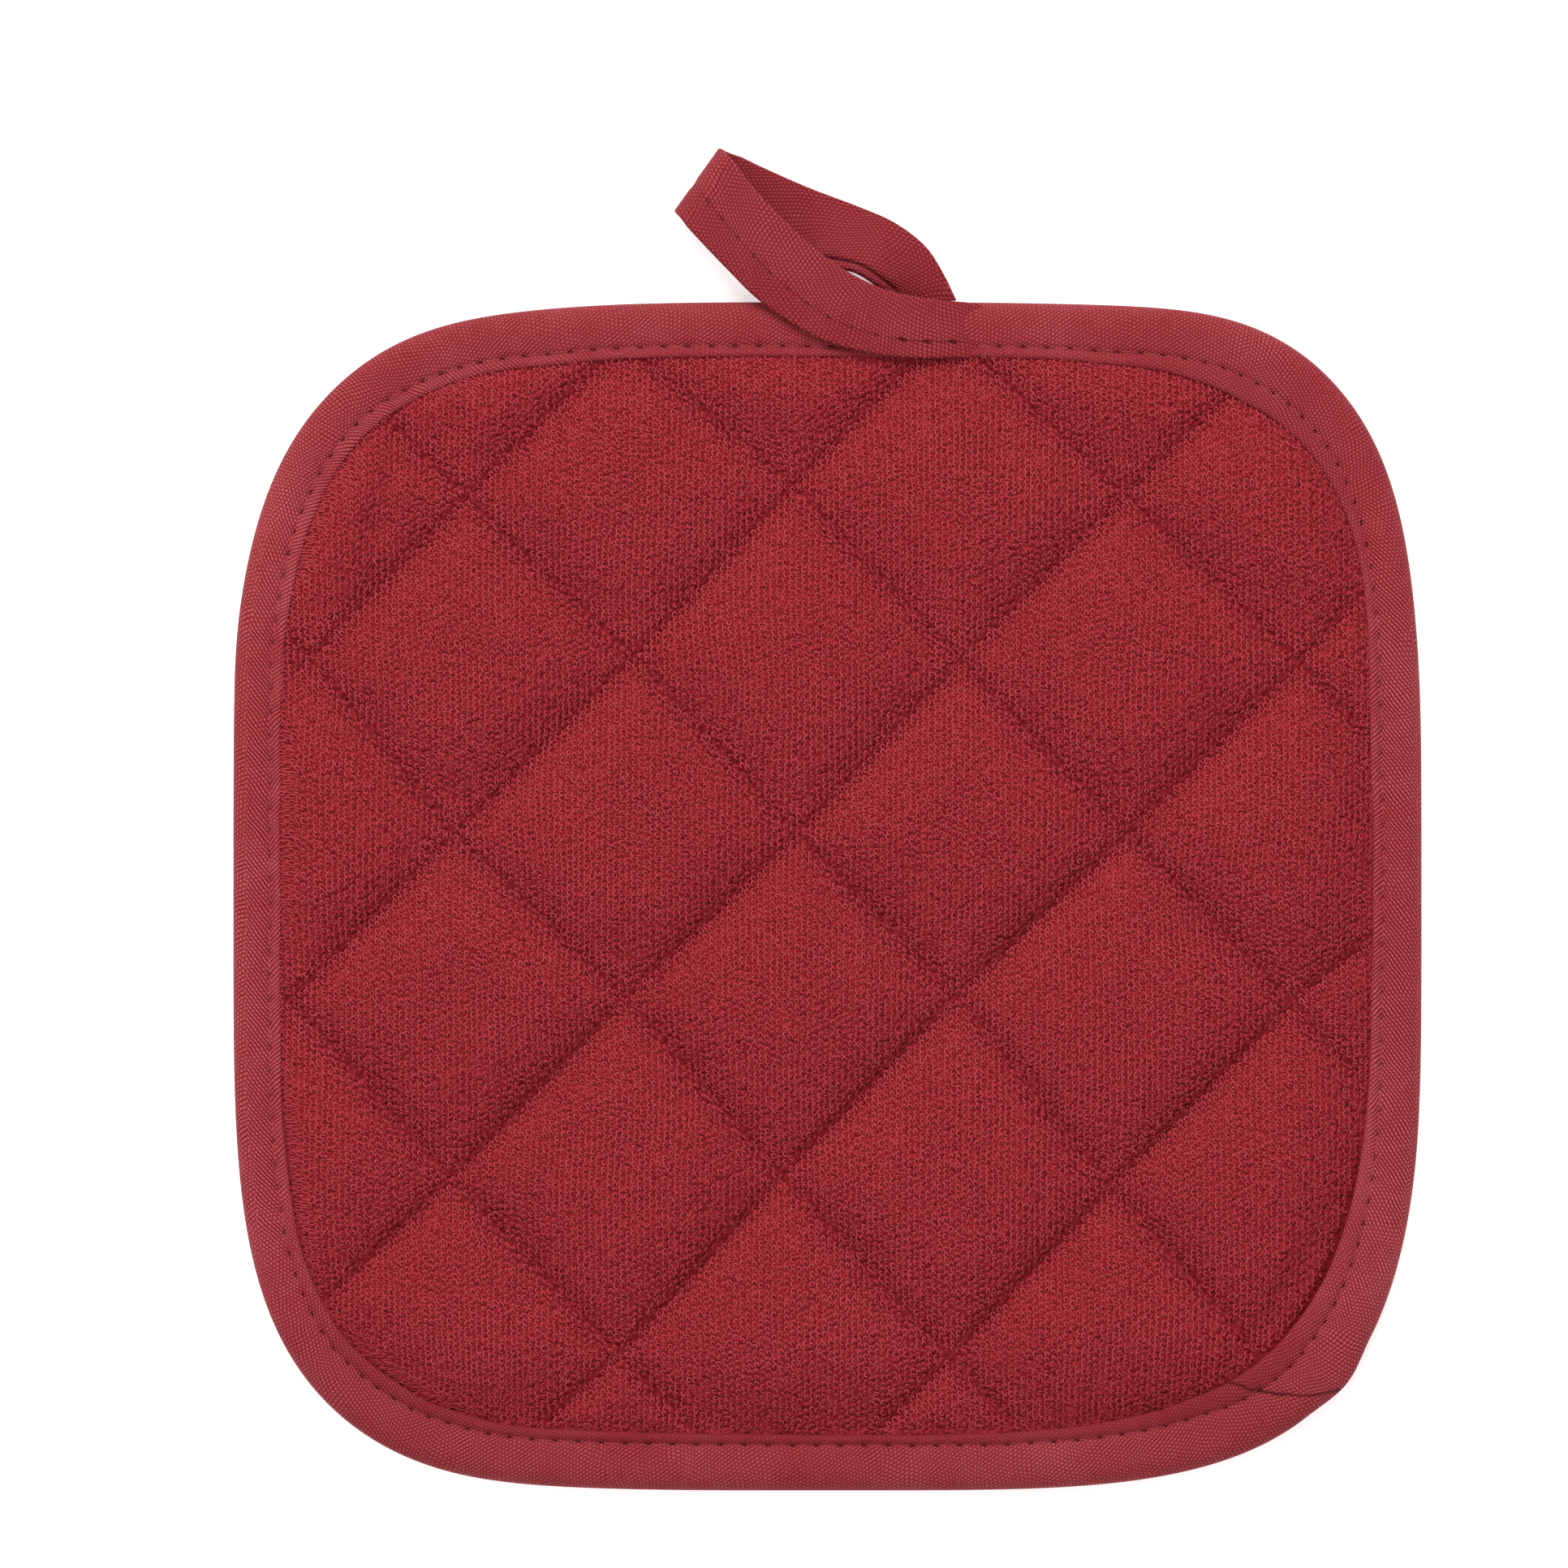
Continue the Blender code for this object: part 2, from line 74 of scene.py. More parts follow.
# Where the edge leaves that outline, by the angle anticlockwise from +X.
# (angle and reach in degrees, further out by, tape wider by)
OUTLINE_STRAYS = [
    (30, 9, -0.25, -0.65), (54, 9, 1.25, 1.25), (126, 8, 0.6, 0.0),
    (156, 7, 0.28, 0.0), (236, 9, 0.65, 0.0), (324, 9, -0.35, 0.0),
]
JOIN_PLACE = (70.9, -66.6)
JOIN_REACH = 4.5
JOIN_BULGE = 0.8
JOIN_LINE_START = 55.5
JOIN_LINE_MIDDLE = 65.5
JOIN_LINE_LEVEL = -69.1
JOIN_LINE_BEND = 0.018
JOIN_CREASE_REACH = 0.5

# Binding section, from the back lip round the edge to the face lip and back along the inside.
# The lip beyond the stitches takes up part of the widening at the corners.
# (part of the width, part of the widening, distance from the outer edge to add to both, height)
OUTSIDE_SECTION = [
    (1.0, 0.0, 0.0, 0.45), (1.0, 0.0, -0.4, 0.05), (1.0, 0.0, -1.6, 0.0), (0.0, 0.0, 3.4, 0.0),
    (0.0, 0.0, 2.0, 0.05), (0.0, 0.0, 0.8, 0.5), (0.0, 0.0, 0.2, 1.4), (0.0, 0.0, 0.0, 2.4),
    (0.0, 0.0, 0.0, 3.3), (0.0, 0.0, 0.2, 4.4), (0.0, 0.0, 0.8, 5.35), (0.0, 0.0, 1.8, 5.95),
    (0.0, 0.0, 3.0, 6.15), (0.5, -0.3, 0.5, 6.15), (1.0, -0.62, -2.5, 6.06),
    (1.0, -0.62, -1.85, 5.96), (1.0, -0.62, -1.5, 5.86), (1.0, -0.62, -1.15, 5.98),
    (1.0, -0.31, -0.65, 6.12), (1.0, 0.0, -0.15, 6.0), (1.0, 0.0, 0.0, 5.6),
]
INSIDE_SECTION = [
    (1.0, 0.0, -0.2, 5.1), (0.0, 0.0, 2.8, 5.0), (0.0, 0.0, 1.5, 4.5), (0.0, 0.0, 1.35, 3.1),
    (0.0, 0.0, 1.5, 1.6), (0.0, 0.0, 2.8, 1.05), (1.0, 0.0, -0.2, 1.0),
]
STITCH_ROW = (1.0, -0.62, -1.5, 5.86)
SECTION_SUBSTEPS = 2
SECTION_MIDDLE = 3.2
STITCH_INSET = 1.5
STITCH_WIDENING = 0.62
STITCH_GROOVE_REACH = 0.45
STITCH_PITCH = 3.333
HOLE_HALF_LENGTH = 0.42
HOLE_HALF_WIDTH = 0.17
HOLE_SLANT = 0.06
THREAD_RADIUS = 0.08
THREAD_STEPS = 6
THREAD_SIDES = 4
THREAD_LEVEL = 5.73
QUILT_STITCH = 2.8
QUILT_STITCH_SHARES = (0.08, 0.92)
QUILT_LIFT = 0.15

# -------- pad sizes
FACE_CROWN = 8.6
FACE_SEAM = 5.3
FACE_RIM = 4.7
BACK_SEAM = 1.1
BACK_RIM = 1.3
PUFF_REACH = 16.0
PUFF_POWER = 3.0
RIM_LIFT = 1.25
RIM_REACH = 8.0
LOW_RIM_REACH = 5.0
RIM_POWER = 2.2
BACK_GROOVE_REACH = 2.4
BACK_RIM_REACH = 3.0
UNDER_BINDING = 3.0
BASE_STEP = 1.25
BASE_REACH = 3.0
PILE_SINK = 0.35
BASE_SINK = 0.12
UNDER_LIP_LEVEL = 5.15
UNDER_LIP_REACH = 0.8

SEAM_CROSSINGS = {
    "Aa": (-49.9, 56.1), "Ad": (-71.6, 33.8),
    "Bb": (-4.3, 57.8), "Ba": (-26.7, 34.0), "Bd": (-51.3, 9.4), "Be": (-74.1, -13.6),
    "Cc": (41.6, 56.5), "Cb": (18.9, 33.6), "Ca": (-3.8, 9.5), "Cd": (-27.6, -13.4),
    "Ce": (-52.0, -38.5), "Dc": (65.8, 33.3), "Db": (42.0, 9.4), "Da": (18.2, -13.1),
    "Dd": (-6.0, -38.0), "De": (-28.6, -62.9), "Eb": (64.7, -14.1), "Ea": (39.7, -39.5),
    "Ed": (17.2, -63.4),
}
# seam: (upper end, its crossings from the top, lower end); an end is None at a crossing
RISING_SEAMS = {
    "A": ((-31.8, 74.1), "Aa Ad", None),
    "B": ((11.6, 74.3), "Bb Ba Bd Be", None),
    "C": ((55.5, 70.0), "Cc Cb Ca Cd Ce", (-68.7, -54.7)),
    "D": ((73.5, 41.6), "Dc Db Da Dd De", (-38.8, -72.2)),
    "E": ((75.6, -5.1), "Eb Ea Ed", (7.4, -73.5)),
}
FALLING_SEAMS = {
    "a": ((-60.0, 66.1), "Aa Ba Ca Da Ea", (59.2, -61.5)),
    "b": ((-23.8, 73.8), "Bb Cb Db Eb", (75.0, -24.9)),
    "c": ((22.8, 74.0), "Cc Dc", (75.6, 22.5)),
    "d": (None, "Ad Bd Cd Dd Ed", (26.0, -72.2)),
    "e": (None, "Be Ce De", (-18.0, -73.5)),
}
# Where the pile stands clear of the lip: angle and reach in degrees anticlockwise from +X.
LIP_GAP_ANGLE = -38.0
LIP_GAP_REACH = 15.0
LIP_GAP = 0.55
# Folds in the pile: (start, end, depth, reach)
PUCKERS = [
    ((-59.1, 62.0), (-62.4, 51.0), 1.3, 3.0), ((-51.6, 67.4), (-53.2, 59.0), 1.0, 2.6),
    ((71.6, -43.0), (57.0, -66.0), 1.2, 3.0), ((-2.0, -73.0), (-1.0, -66.5), 0.8, 3.0),
]

# -------- terry pile
PILE_PITCH_ACROSS = 0.83
PILE_PITCH_UP = 0.84
PILE_RADIUS = 0.255
YARN_RADIUS = 0.114
PILE_SWEEP = math.radians(325)
PILE_FACING = math.radians(150)
PILE_TILT = math.radians(22)
PILE_SEGMENTS = 6
YARN_PROFILE = [math.radians(10), math.radians(90), math.radians(170)]
PILE_RISE = 0.3
PILE_PIECES = 5
COMBED_START = -35.0
COMBED_FADE = 25.0
COMBED_REACH = 3.0
COMBED_SEAM_GAP = 5.0
CREASE_DEPTH = 0.75
CREASE_REACH = 0.8
CREASE_GAP = 0.14
# The stitches pull the face in most on the lower side of their seam's line, this far from it.
RISING_SHIFT = (-0.2, 0.2)
FALLING_SHIFT = (0.42, 0.42)
RISING_PULL = 0.8
CREASE_DIP_PITCH = 1.15

# -------- hanging loop
LOOP_THICKNESS = 1.1
# (outer edge x, y, z, inner edge x, y, z), from the sewn front end to the fold
LOOP_FRONT = [
    (23.6, 81.6, 3.4, 23.5, 75.2, 4.4), (20.6, 82.3, 4.9, 20.3, 74.7, 5.5),
    (17.0, 82.6, 5.9, 16.6, 74.6, 6.4), (13.0, 83.0, 6.55, 11.5, 74.6, 6.85),
    (8.7, 83.9, 6.85, 5.0, 75.4, 7.0), (4.8, 85.5, 6.85, -1.0, 77.2, 7.05),
    (0.8, 87.9, 6.75, -6.2, 80.2, 6.95), (-2.9, 90.8, 6.6, -10.2, 83.2, 6.8),
    (-6.4, 94.1, 6.45, -13.4, 86.4, 6.5), (-9.8, 97.7, 6.35, -16.3, 89.4, 6.35),
]
FOLD_UPPER = (-15.0, 104.1)
FOLD_LOWER = (-21.4, 95.1)
FOLD_TOP = 6.25
FOLD_BOTTOM = 0.62
FOLD_SLIDE = 0.3
FOLD_STEPS = 8
LOOP_BACK = [
    (-9.0, 101.5, 0.62, -14.2, 92.6, 0.62), (-2.9, 98.8, 0.62, -7.2, 89.8, 0.75),
    (4.0, 96.1, 0.62, -1.4, 87.7, 3.4), (9.2, 93.8, 0.62, 3.6, 86.7, 4.0),
    (13.4, 90.7, 0.62, 6.8, 84.8, 3.2), (15.9, 87.2, 0.62, 8.6, 83.7, 1.8),
    (18.0, 83.0, 0.62, 9.6, 82.9, 0.62),
]
LOOP_MAP_START = 1000.0
LOOP_MAP_UNDER = 30.0
LOOP_STITCH_SHARES = (0.72, 0.58)
LOOP_SUBSTEPS = 10
LOOP_EDGE_SHARE = 0.03
LOOP_SHARES = [0, 0.006, 0.015, 0.03, 0.12, 0.24, 0.36, 0.48, 0.55, 0.6, 0.65, 0.7, 0.75, 0.8,
               0.84, 0.86, 0.88, 0.92, 0.97, 0.985, 0.994, 1]
# The open edge of the tape's fold along the back leg, from and to these distances along the strip.
SLIT_SHARE = 0.86
SLIT_RUN = (72.0, 87.0)
SLIT_DEPTH = 0.5
SEWN_RUN = 14.0
BAR_TACK = [((21.2, 76.7), (21.5, 74.9)), ((21.5, 76.6), (21.8, 74.8)), ((20.9, 76.5), (21.3, 75.0))]
BAR_TACK_LEVEL = 6.15

# -------- colours, as seen in 0 to 255
TERRY_LIGHT = (176, 64, 72)
TERRY_MID = (162, 50, 58)
# painted shade on the loops near their ends and between the loops on the back
TERRY_SHADE = (144, 34, 41)
TERRY_DARK = (132, 27, 34)
TERRY_GROUND = (158, 43, 51)
# painted shade for the ground cloth in the creases and in the gap beside the lip
TERRY_CREASE_SHADE = (108, 16, 22)
TAPE_LIGHT = (194, 93, 99)
TAPE_MID = (170, 61, 68)
# painted shade between the tape's threads, at its ends, on the loop and on the low lip
TAPE_SHADE = (108, 13, 21)
THREAD_LIGHT = (174, 74, 81)
THREAD_RED = (148, 52, 59)
# painted shade in the needle holes, in the loop's slit and under the join's folded edge
HOLE_SHADE = (66, 8, 13)
SHEEN_TINT = (255, 170, 170)

# As a shader takes them
FLOOR_COLOUR = (0.93, 0.93, 0.93, 1.0)
WHITE = (1.0, 1.0, 1.0, 1.0)

# -------- weave and relief
WEAVE_PITCH = 0.475
KNOT_PITCH = 0.62
WEAVE_ANGLE = math.radians(38)
LIP_PITCH = 0.518
LIP_ANGLE = math.radians(-52)
# painted light on the turned lip of the sides and upper left
LIP_PAINTED_LIGHT = 0.1
EDGE_PITCH = 0.56
EDGE_ANGLE = math.radians(-64)
YARN_RELIEF = 0.1
BACK_RELIEF = 0.4
WEAVE_RELIEF = 0.15
BACK_LOOPS_PER_METRE = 1150.0


def linear(colour):
    """A display colour in 0 to 255 as the linear values of a shader, with an alpha of 1."""
    shares = [value / 255 for value in colour]
    values = [s / 12.92 if s <= 0.04045 else ((s + 0.055) / 1.055) ** 2.4 for s in shares]
    return (*values, 1.0)


# -------- drifting numbers

def drift(points, period, seed):
    """Smooth values from -1 to 1 over places, alike in each run, with bumps about a period apart."""
    size = 64
    table = np.random.default_rng(seed).uniform(-1, 1, (size, size))
    at = np.asarray(points) / period + size / 2
    cell = np.floor(at).astype(int)
    part = at - cell
    part = part * part * (3 - 2 * part)
    x, y = cell[:, 0] % size, cell[:, 1] % size
    right, up = (x + 1) % size, (y + 1) % size
    low = table[x, y] * (1 - part[:, 0]) + table[right, y] * part[:, 0]
    high = table[x, up] * (1 - part[:, 0]) + table[right, up] * part[:, 0]
    return low * (1 - part[:, 1]) + high * part[:, 1]


# -------- meshes from arrays

def placed(name, data):
    """An object in the scene that shows a mesh, a light or a camera."""
    thing = bpy.data.objects.new(name, data)
    bpy.context.scene.collection.objects.link(thing)
    return thing


def mesh_object(name, corners, faces, material, **uv_maps):
    """An object of equal-sided faces. corners are in millimetres; uv_maps hold a place per corner."""
    mesh = bpy.data.meshes.new(name)
    faces = np.asarray(faces, dtype=np.int32)
    sides = faces.shape[1]
    mesh.vertices.add(len(corners))
    mesh.vertices.foreach_set("co", (np.asarray(corners, dtype=np.float32) * MM).ravel())
    mesh.loops.add(faces.size)
    mesh.loops.foreach_set("vertex_index", faces.ravel())
    mesh.polygons.add(len(faces))
    mesh.polygons.foreach_set("loop_start", np.arange(0, faces.size, sides, dtype=np.int32))
    mesh.update(calc_edges=True)
    mesh.validate()
    for label, places in uv_maps.items():
        layer = mesh.uv_layers.new(name=label)
        layer.uv.foreach_set("vector", np.asarray(places, dtype=np.float32)[faces.ravel()].ravel())
    mesh.shade_smooth()
    mesh.materials.append(material)
    return placed(name, mesh)


def unit(vectors):
    return vectors / np.linalg.norm(vectors, axis=-1, keepdims=True)


def clamped(value):
    return np.clip(value, 0.0, 1.0)


def grid_faces(rows, columns, closed_rows=False, closed_columns=False):
    """Four-sided faces between rows of places. The last row or column may join the first."""
    i, k = np.mgrid[:rows - 1 + closed_rows, :columns - 1 + closed_columns]
    here, after = i * columns, (i + 1) % rows * columns
    beside = (k + 1) % columns
    quads = [here + k, here + beside, after + beside, after + k]
    return np.stack(quads, axis=-1).reshape(-1, 4)


def repeated(faces, count, corner_count):
    """The faces of one small piece, for that many such pieces with corner_count corners each."""
    return (faces + (np.arange(count) * corner_count)[:, None, None]).reshape(-1, 4)


def side_map(corners, on_back):
    """A map with the face in its left half and the back in its right half."""
    spread = (corners[:, :2] + HALF_SIZE * 1.3) / (HALF_SIZE * 2.6)
    spread[:, 0] = (spread[:, 0] + on_back) / 2
    return spread


# -------- outline

def superellipse_point(angle):
    way = math.cos(angle), math.sin(angle)
    share = 2 / CORNER_POWERS[tuple(1 if part >= 0 else -1 for part in way)]
    return [HALF_SIZE * math.copysign(abs(part) ** share, part) for part in way]


def strayed(places, column):
    """How much further out (column 0) or wider (column 1) the edge is than its plain outline."""
    angle = np.degrees(np.arctan2(places[:, 1], places[:, 0])) % 360
    total = np.zeros(len(places))
    for middle, reach, *amounts in OUTLINE_STRAYS:
        total += amounts[column] * np.exp(-((angle - middle) / reach) ** 2)
    return total


def evenly_spaced(loop, count):
    """Points at even distances along a closed line."""
    closed = np.vstack([loop, loop[:1]])
    lengths = np.linalg.norm(np.diff(closed, axis=0), axis=1)
    reached = np.append(0.0, np.cumsum(lengths))
    wanted = np.linspace(0.0, reached[-1], count, endpoint=False)
    return np.stack([np.interp(wanted, reached, closed[:, axis]) for axis in (0, 1)], axis=1)


def outline_stations(count):
    """Places round the outer edge, anticlockwise, and the outward direction at each."""
    angles = np.linspace(0.0, 2 * math.pi, OUTLINE_SAMPLES, endpoint=False)
    loop = np.array([superellipse_point(angle) for angle in angles])
    loop *= 1 + (strayed(loop, 0) / np.linalg.norm(loop, axis=1))[:, None]
    places = evenly_spaced(loop, count)
    along = np.roll(places, -1, axis=0) - np.roll(places, 1, axis=0)
    return places, unit(np.stack([along[:, 1], -along[:, 0]], axis=1))


def join_share(places):
    distance = np.linalg.norm(places - JOIN_PLACE, axis=1)
    return np.exp(-(distance / JOIN_REACH) ** 2)


def corner_widening(places, outward):
    """How much wider the binding is at its corners, where the edge faces the given way."""
    widest = np.zeros(len(outward))
    for sides, added in CORNER_WIDENING.items():
        widest[np.all(outward * sides > 0, axis=1)] = added
    return widest * np.abs(2 * outward[:, 0] * outward[:, 1]) ** CORNER_SPREAD + strayed(places, 1)


def binding_width(places, outward):
    side = np.where(outward[:, 0] > 0, WIDTH_RIGHT, WIDTH_LEFT)
    end = np.where(outward[:, 1] > 0, WIDTH_TOP, WIDTH_BOTTOM)
    return side + (end - side) * outward[:, 1] ** 2 + corner_widening(places, outward)


def stitch_inset(places, outward):
    """Distance of the stitches from the outer edge."""
    lip = STITCH_INSET + STITCH_WIDENING * corner_widening(places, outward)
    return binding_width(places, outward) - lip


def inset_ring(places, outward, distance):
    return places - outward * np.reshape(distance, (-1, 1))


# -------- seams and pad heights

def extended(end, neighbour):
    end = np.array(end)
    return end + unit(end - neighbour) * UNDER_BINDING


def seam_line(upper_end, crossing_names, lower_end):
    line = [np.array(SEAM_CROSSINGS[name]) for name in crossing_names.split()]
    first = extended(upper_end, line[0]) if upper_end else extended(line[0], line[1])
    last = extended(lower_end, line[-1]) if lower_end else extended(line[-1], line[-2])
    return [first, *line, last]


def distance_to_lines(points, lines):
    """Distance from each point to the nearest of several lines of straight pieces."""
    nearest = np.full(len(points), np.inf)
    for line in lines:
        for start, end in zip(line[:-1], line[1:]):
            start = np.asarray(start, dtype=float)
            piece = np.asarray(end, dtype=float) - start
            share = clamped((points - start) @ piece / (piece @ piece))
            foot = start + share[:, None] * piece
            nearest = np.minimum(nearest, np.linalg.norm(points - foot, axis=1))
    return nearest


def climb(distance, reach, power):
    left = clamped(1.0 - distance / reach)
    return 1.0 - left ** power


class PadShape:
    """Heights of the pad's face and back over any place in its plan."""

    def __init__(self):
        places, outward = outline_stations(LIP_STATIONS)
        self.lip = inset_ring(places, outward, binding_width(places, outward))
        self.rising = [seam_line(*row) for row in RISING_SEAMS.values()]
        self.falling = [seam_line(*row) for row in FALLING_SEAMS.values()]

    def inside_lip(self, points):
        """Distance from the binding's inner edge, negative below the binding."""
        distance = distance_to_lines(points, [np.vstack([self.lip, self.lip[:1]])])
        x, y = points[:, 0], points[:, 1]
        inside = np.zeros(len(points), dtype=bool)
        for start, end in zip(self.lip, np.roll(self.lip, -1, axis=0)):
            rise = end[1] - start[1]
            if rise:
                spans = (start[1] > y) != (end[1] > y)
                inside ^= spans & (x < start[0] + (y - start[1]) * (end[0] - start[0]) / rise)
        return np.where(inside, distance, -distance)

    def crease(self, points, rising, falling, wide):
        """How far the stitches pull the face in: all along rising seams, in dips on falling ones.

        A wide crease reaches further out and has no dips.
        """
        if wide:
            return CREASE_DEPTH * clamped(1.9 - np.minimum(rising, falling) / CREASE_REACH)
        along = (points[:, 0] - points[:, 1]) / math.sqrt(2)
        dips = 0.4 + 0.6 * np.cos(along * (math.pi / CREASE_DIP_PITCH)) ** 2
        depth = RISING_PULL * clamped(1 - rising / CREASE_REACH)
        depth = np.maximum(depth, clamped(1 - falling / CREASE_REACH) * dips)
        return CREASE_DEPTH * depth

    def ground(self, points):
        """The cloth below the loops, clear of them also where its cells are wider than a crease.

        Under the lip it meets the tape.
        """
        open_level = self.face(points, wide=True) - BASE_SINK * (1 - self.combed(points))
        under_lip = clamped(-self.inside_lip(points) / UNDER_LIP_REACH)
        return open_level + (UNDER_LIP_LEVEL - open_level) * under_lip

    def seam_distances(self, points):
        """Distances to the creases of the rising and of the falling seams."""
        rising = distance_to_lines(points + RISING_SHIFT, self.rising)
        return rising, distance_to_lines(points + FALLING_SHIFT, self.falling)

    def combed(self, points):
        """How far the loops beside the left lip lie down across it between seams, from 0 to 1."""
        left = clamped((COMBED_START - points[:, 0]) / COMBED_FADE)
        near_lip = clamped((COMBED_REACH - self.inside_lip(points)) / 1.5)
        from_seam = np.minimum(*self.seam_distances(points)) / COMBED_SEAM_GAP - 1
        return left * near_lip * clamped(from_seam)

    def lip_gap(self, points):
        """How wide a gap the pile leaves beside the lip."""
        off = (np.degrees(np.arctan2(points[:, 1], points[:, 0])) - LIP_GAP_ANGLE) / LIP_GAP_REACH
        return LIP_GAP * np.exp(-off ** 2)

    def painted_shade(self, points):
        """Painted shade on the ground cloth: 0.4 at the bottom of a crease, up to 1 in the gap beside the
        lip, and 0 away from them.
        """
        crease = 0.4 * clamped(1.3 - np.minimum(*self.seam_distances(points)) / CREASE_REACH)
        gap = clamped(2 * self.lip_gap(points) + 0.6 - self.inside_lip(points))
        return np.maximum(crease, gap * self.lip_gap(points) / LIP_GAP)

    def face(self, points, wide=False):
        """Height of the face that the loops stand on, with plain or wide creases."""
        rising, falling_crease = self.seam_distances(points)
        falling = distance_to_lines(points, self.falling)
        puff = climb(rising, PUFF_REACH, PUFF_POWER) * climb(falling, PUFF_REACH, PUFF_POWER)
        pucker = np.zeros(len(points))
        for *fold, depth, reach in PUCKERS:
            pucker += depth * np.exp(-(distance_to_lines(points, [fold]) / reach) ** 2 * 2.0)
        quilted = FACE_SEAM + (FACE_CROWN - FACE_SEAM) * puff - pucker
        quilted += 0.18 * drift(points, 9.0, 3) * puff + 0.07 * drift(points, 3.2, 4) * puff
        inside = np.maximum(self.inside_lip(points), 0.0)
        lifted = clamped(0.75 + (points[:, 1] - 0.25 * points[:, 0]) / 80.0)
        start = FACE_RIM + RIM_LIFT * lifted
        rim = climb(inside, RIM_REACH + LOW_RIM_REACH * (1 - lifted), RIM_POWER)
        height = start + (np.maximum(quilted, start) - start) * rim
        pull = self.crease(points, rising, falling_crease, wide) * clamped(inside / 1.5)
        return height - pull - PILE_SINK

    def back(self, points):
        seam = distance_to_lines(points, self.rising + self.falling)
        groove = BACK_SEAM * clamped(1.0 - seam / BACK_GROOVE_REACH)
        inside = np.maximum(self.inside_lip(points), 0.0)
        rim = BACK_RIM * clamped(1.0 - inside / BACK_RIM_REACH)
        return np.maximum(groove, rim)


def normals_of(height, points, step=0.3):
    """Upward directions of a height over places, of length 1."""
    right = height(points + (step, 0)) - height(points - (step, 0))
    up = height(points + (0, step)) - height(points - (0, step))
    return unit(np.stack([-right / (2 * step), -up / (2 * step), np.ones(len(points))], axis=1))


# -------- shader arithmetic

def feed(socket, value):
    """Links a worked-out value to a shader's socket, or sets a plain one on it."""
    if isinstance(value, Value):
        socket.id_data.links.new(value.socket, socket)
    else:
        socket.default_value = value


def new_node(tree, kind, given, **settings):
    """A node with its settings, and with values given to its sockets by name or number."""
    node = tree.nodes.new(kind)
    for name, setting in settings.items():
        setattr(node, name, setting)
    for key, value in given.items():
        feed(node.inputs[key], value)
    return node


def shader_math(operation, *given):
    """One step of arithmetic in a shader, on numbers of which one or more are worked out there."""
    tree = next(value.socket.id_data for value in given if isinstance(value, Value))
    node = new_node(tree, "ShaderNodeMath", dict(enumerate(given)), operation=operation)
    return Value(node.outputs[0])


def shader_operator(operation):
    return lambda *given: shader_math(operation, *given)


def most(first, *others):
    """The largest of several shader numbers."""
    for other in others:
        first = shader_math("MAXIMUM", first, other)
    return first


def half_wave(number):
    """0 at each whole number and 1 halfway between two."""
    return shader_math("SINE", shader_math("FRACT", number) * math.pi)


class Value:
    """What a shader works out at each place. Such numbers add and multiply like plain ones."""

    def __init__(self, socket):
        self.socket = socket

    def __rsub__(self, other):
        return shader_math("SUBTRACT", other, self)

    __add__ = shader_operator("ADD")
    __sub__ = shader_operator("SUBTRACT")
    __mul__ = shader_operator("MULTIPLY")
    __truediv__ = shader_operator("DIVIDE")
    __pow__ = shader_operator("POWER")
    __mod__ = shader_operator("FLOORED_MODULO")
    __gt__ = shader_operator("GREATER_THAN")
    __abs__ = shader_operator("ABSOLUTE")

    def towards(self, other, share):
        """This number at a share of 0, and the other one at a share of 1."""
        return self + (other - self) * share

    def ranged(self, low, high, at_low=0.0, at_high=1.0):
        """Goes from at_low to at_high while this number goes from low to high, and stays there."""
        given = dict(enumerate((self, low, high, at_low, at_high)))
        node = new_node(self.socket.id_data, "ShaderNodeMapRange", given, clamp=True)
        return Value(node.outputs["Result"])


class Look:
    """A material that is built from short calls."""

    def __init__(self, name, roughness, sheen=0.0):
        self.material = bpy.data.materials.new(name)
        self.material.use_nodes = True
        self.tree = self.material.node_tree
        self.shader = self.tree.nodes["Principled BSDF"]
        self.set(
            {
                "Roughness": roughness, "Specular IOR Level": 0.1, "Sheen Weight": sheen,
                "Sheen Roughness": 0.5, "Sheen Tint": linear(SHEEN_TINT),
            }
        )

    def set(self, given):
        for name, value in given.items():
            feed(self.shader.inputs[name], value)

    def place(self):
        return Value(self.tree.nodes.new("ShaderNodeTexCoord").outputs["Object"])

    def uv(self, name):
        return Value(new_node(self.tree, "ShaderNodeUVMap", {}, uv_map=name).outputs["UV"])

    def parts(self, vector):
        """The x, y and z of a vector."""
        return [Value(part) for part in new_node(self.tree, "ShaderNodeSeparateXYZ", {0: vector}).outputs]

    def noise(self, vector, scale, detail=2.0, roughness=0.5):
        given = {"Vector": vector, "Scale": scale, "Detail": detail, "Roughness": roughness}
        return Value(new_node(self.tree, "ShaderNodeTexNoise", given).outputs[0])

    def mix(self, share, *colours):
        """The first colour at a share of 0 and the second at a share of 1."""
        low, high = [colour if isinstance(colour, Value) else linear(colour) for colour in colours]
        given = {"Factor": share, "A": low, "B": high}
        return Value(new_node(self.tree, "ShaderNodeMix", given, data_type="RGBA").outputs["Result"])

    def finished(self, colour, height=None, relief=0.0):
        """The material with its colour and its heights. relief is a height of 1 in millimetres."""
        self.set({"Base Color": colour})
        if height is not None:
            bump = new_node(self.tree, "ShaderNodeBump", {"Distance": relief * MM, "Height": height})
            self.set({"Normal": Value(bump.outputs["Normal"])})
        return self.material


# -------- materials

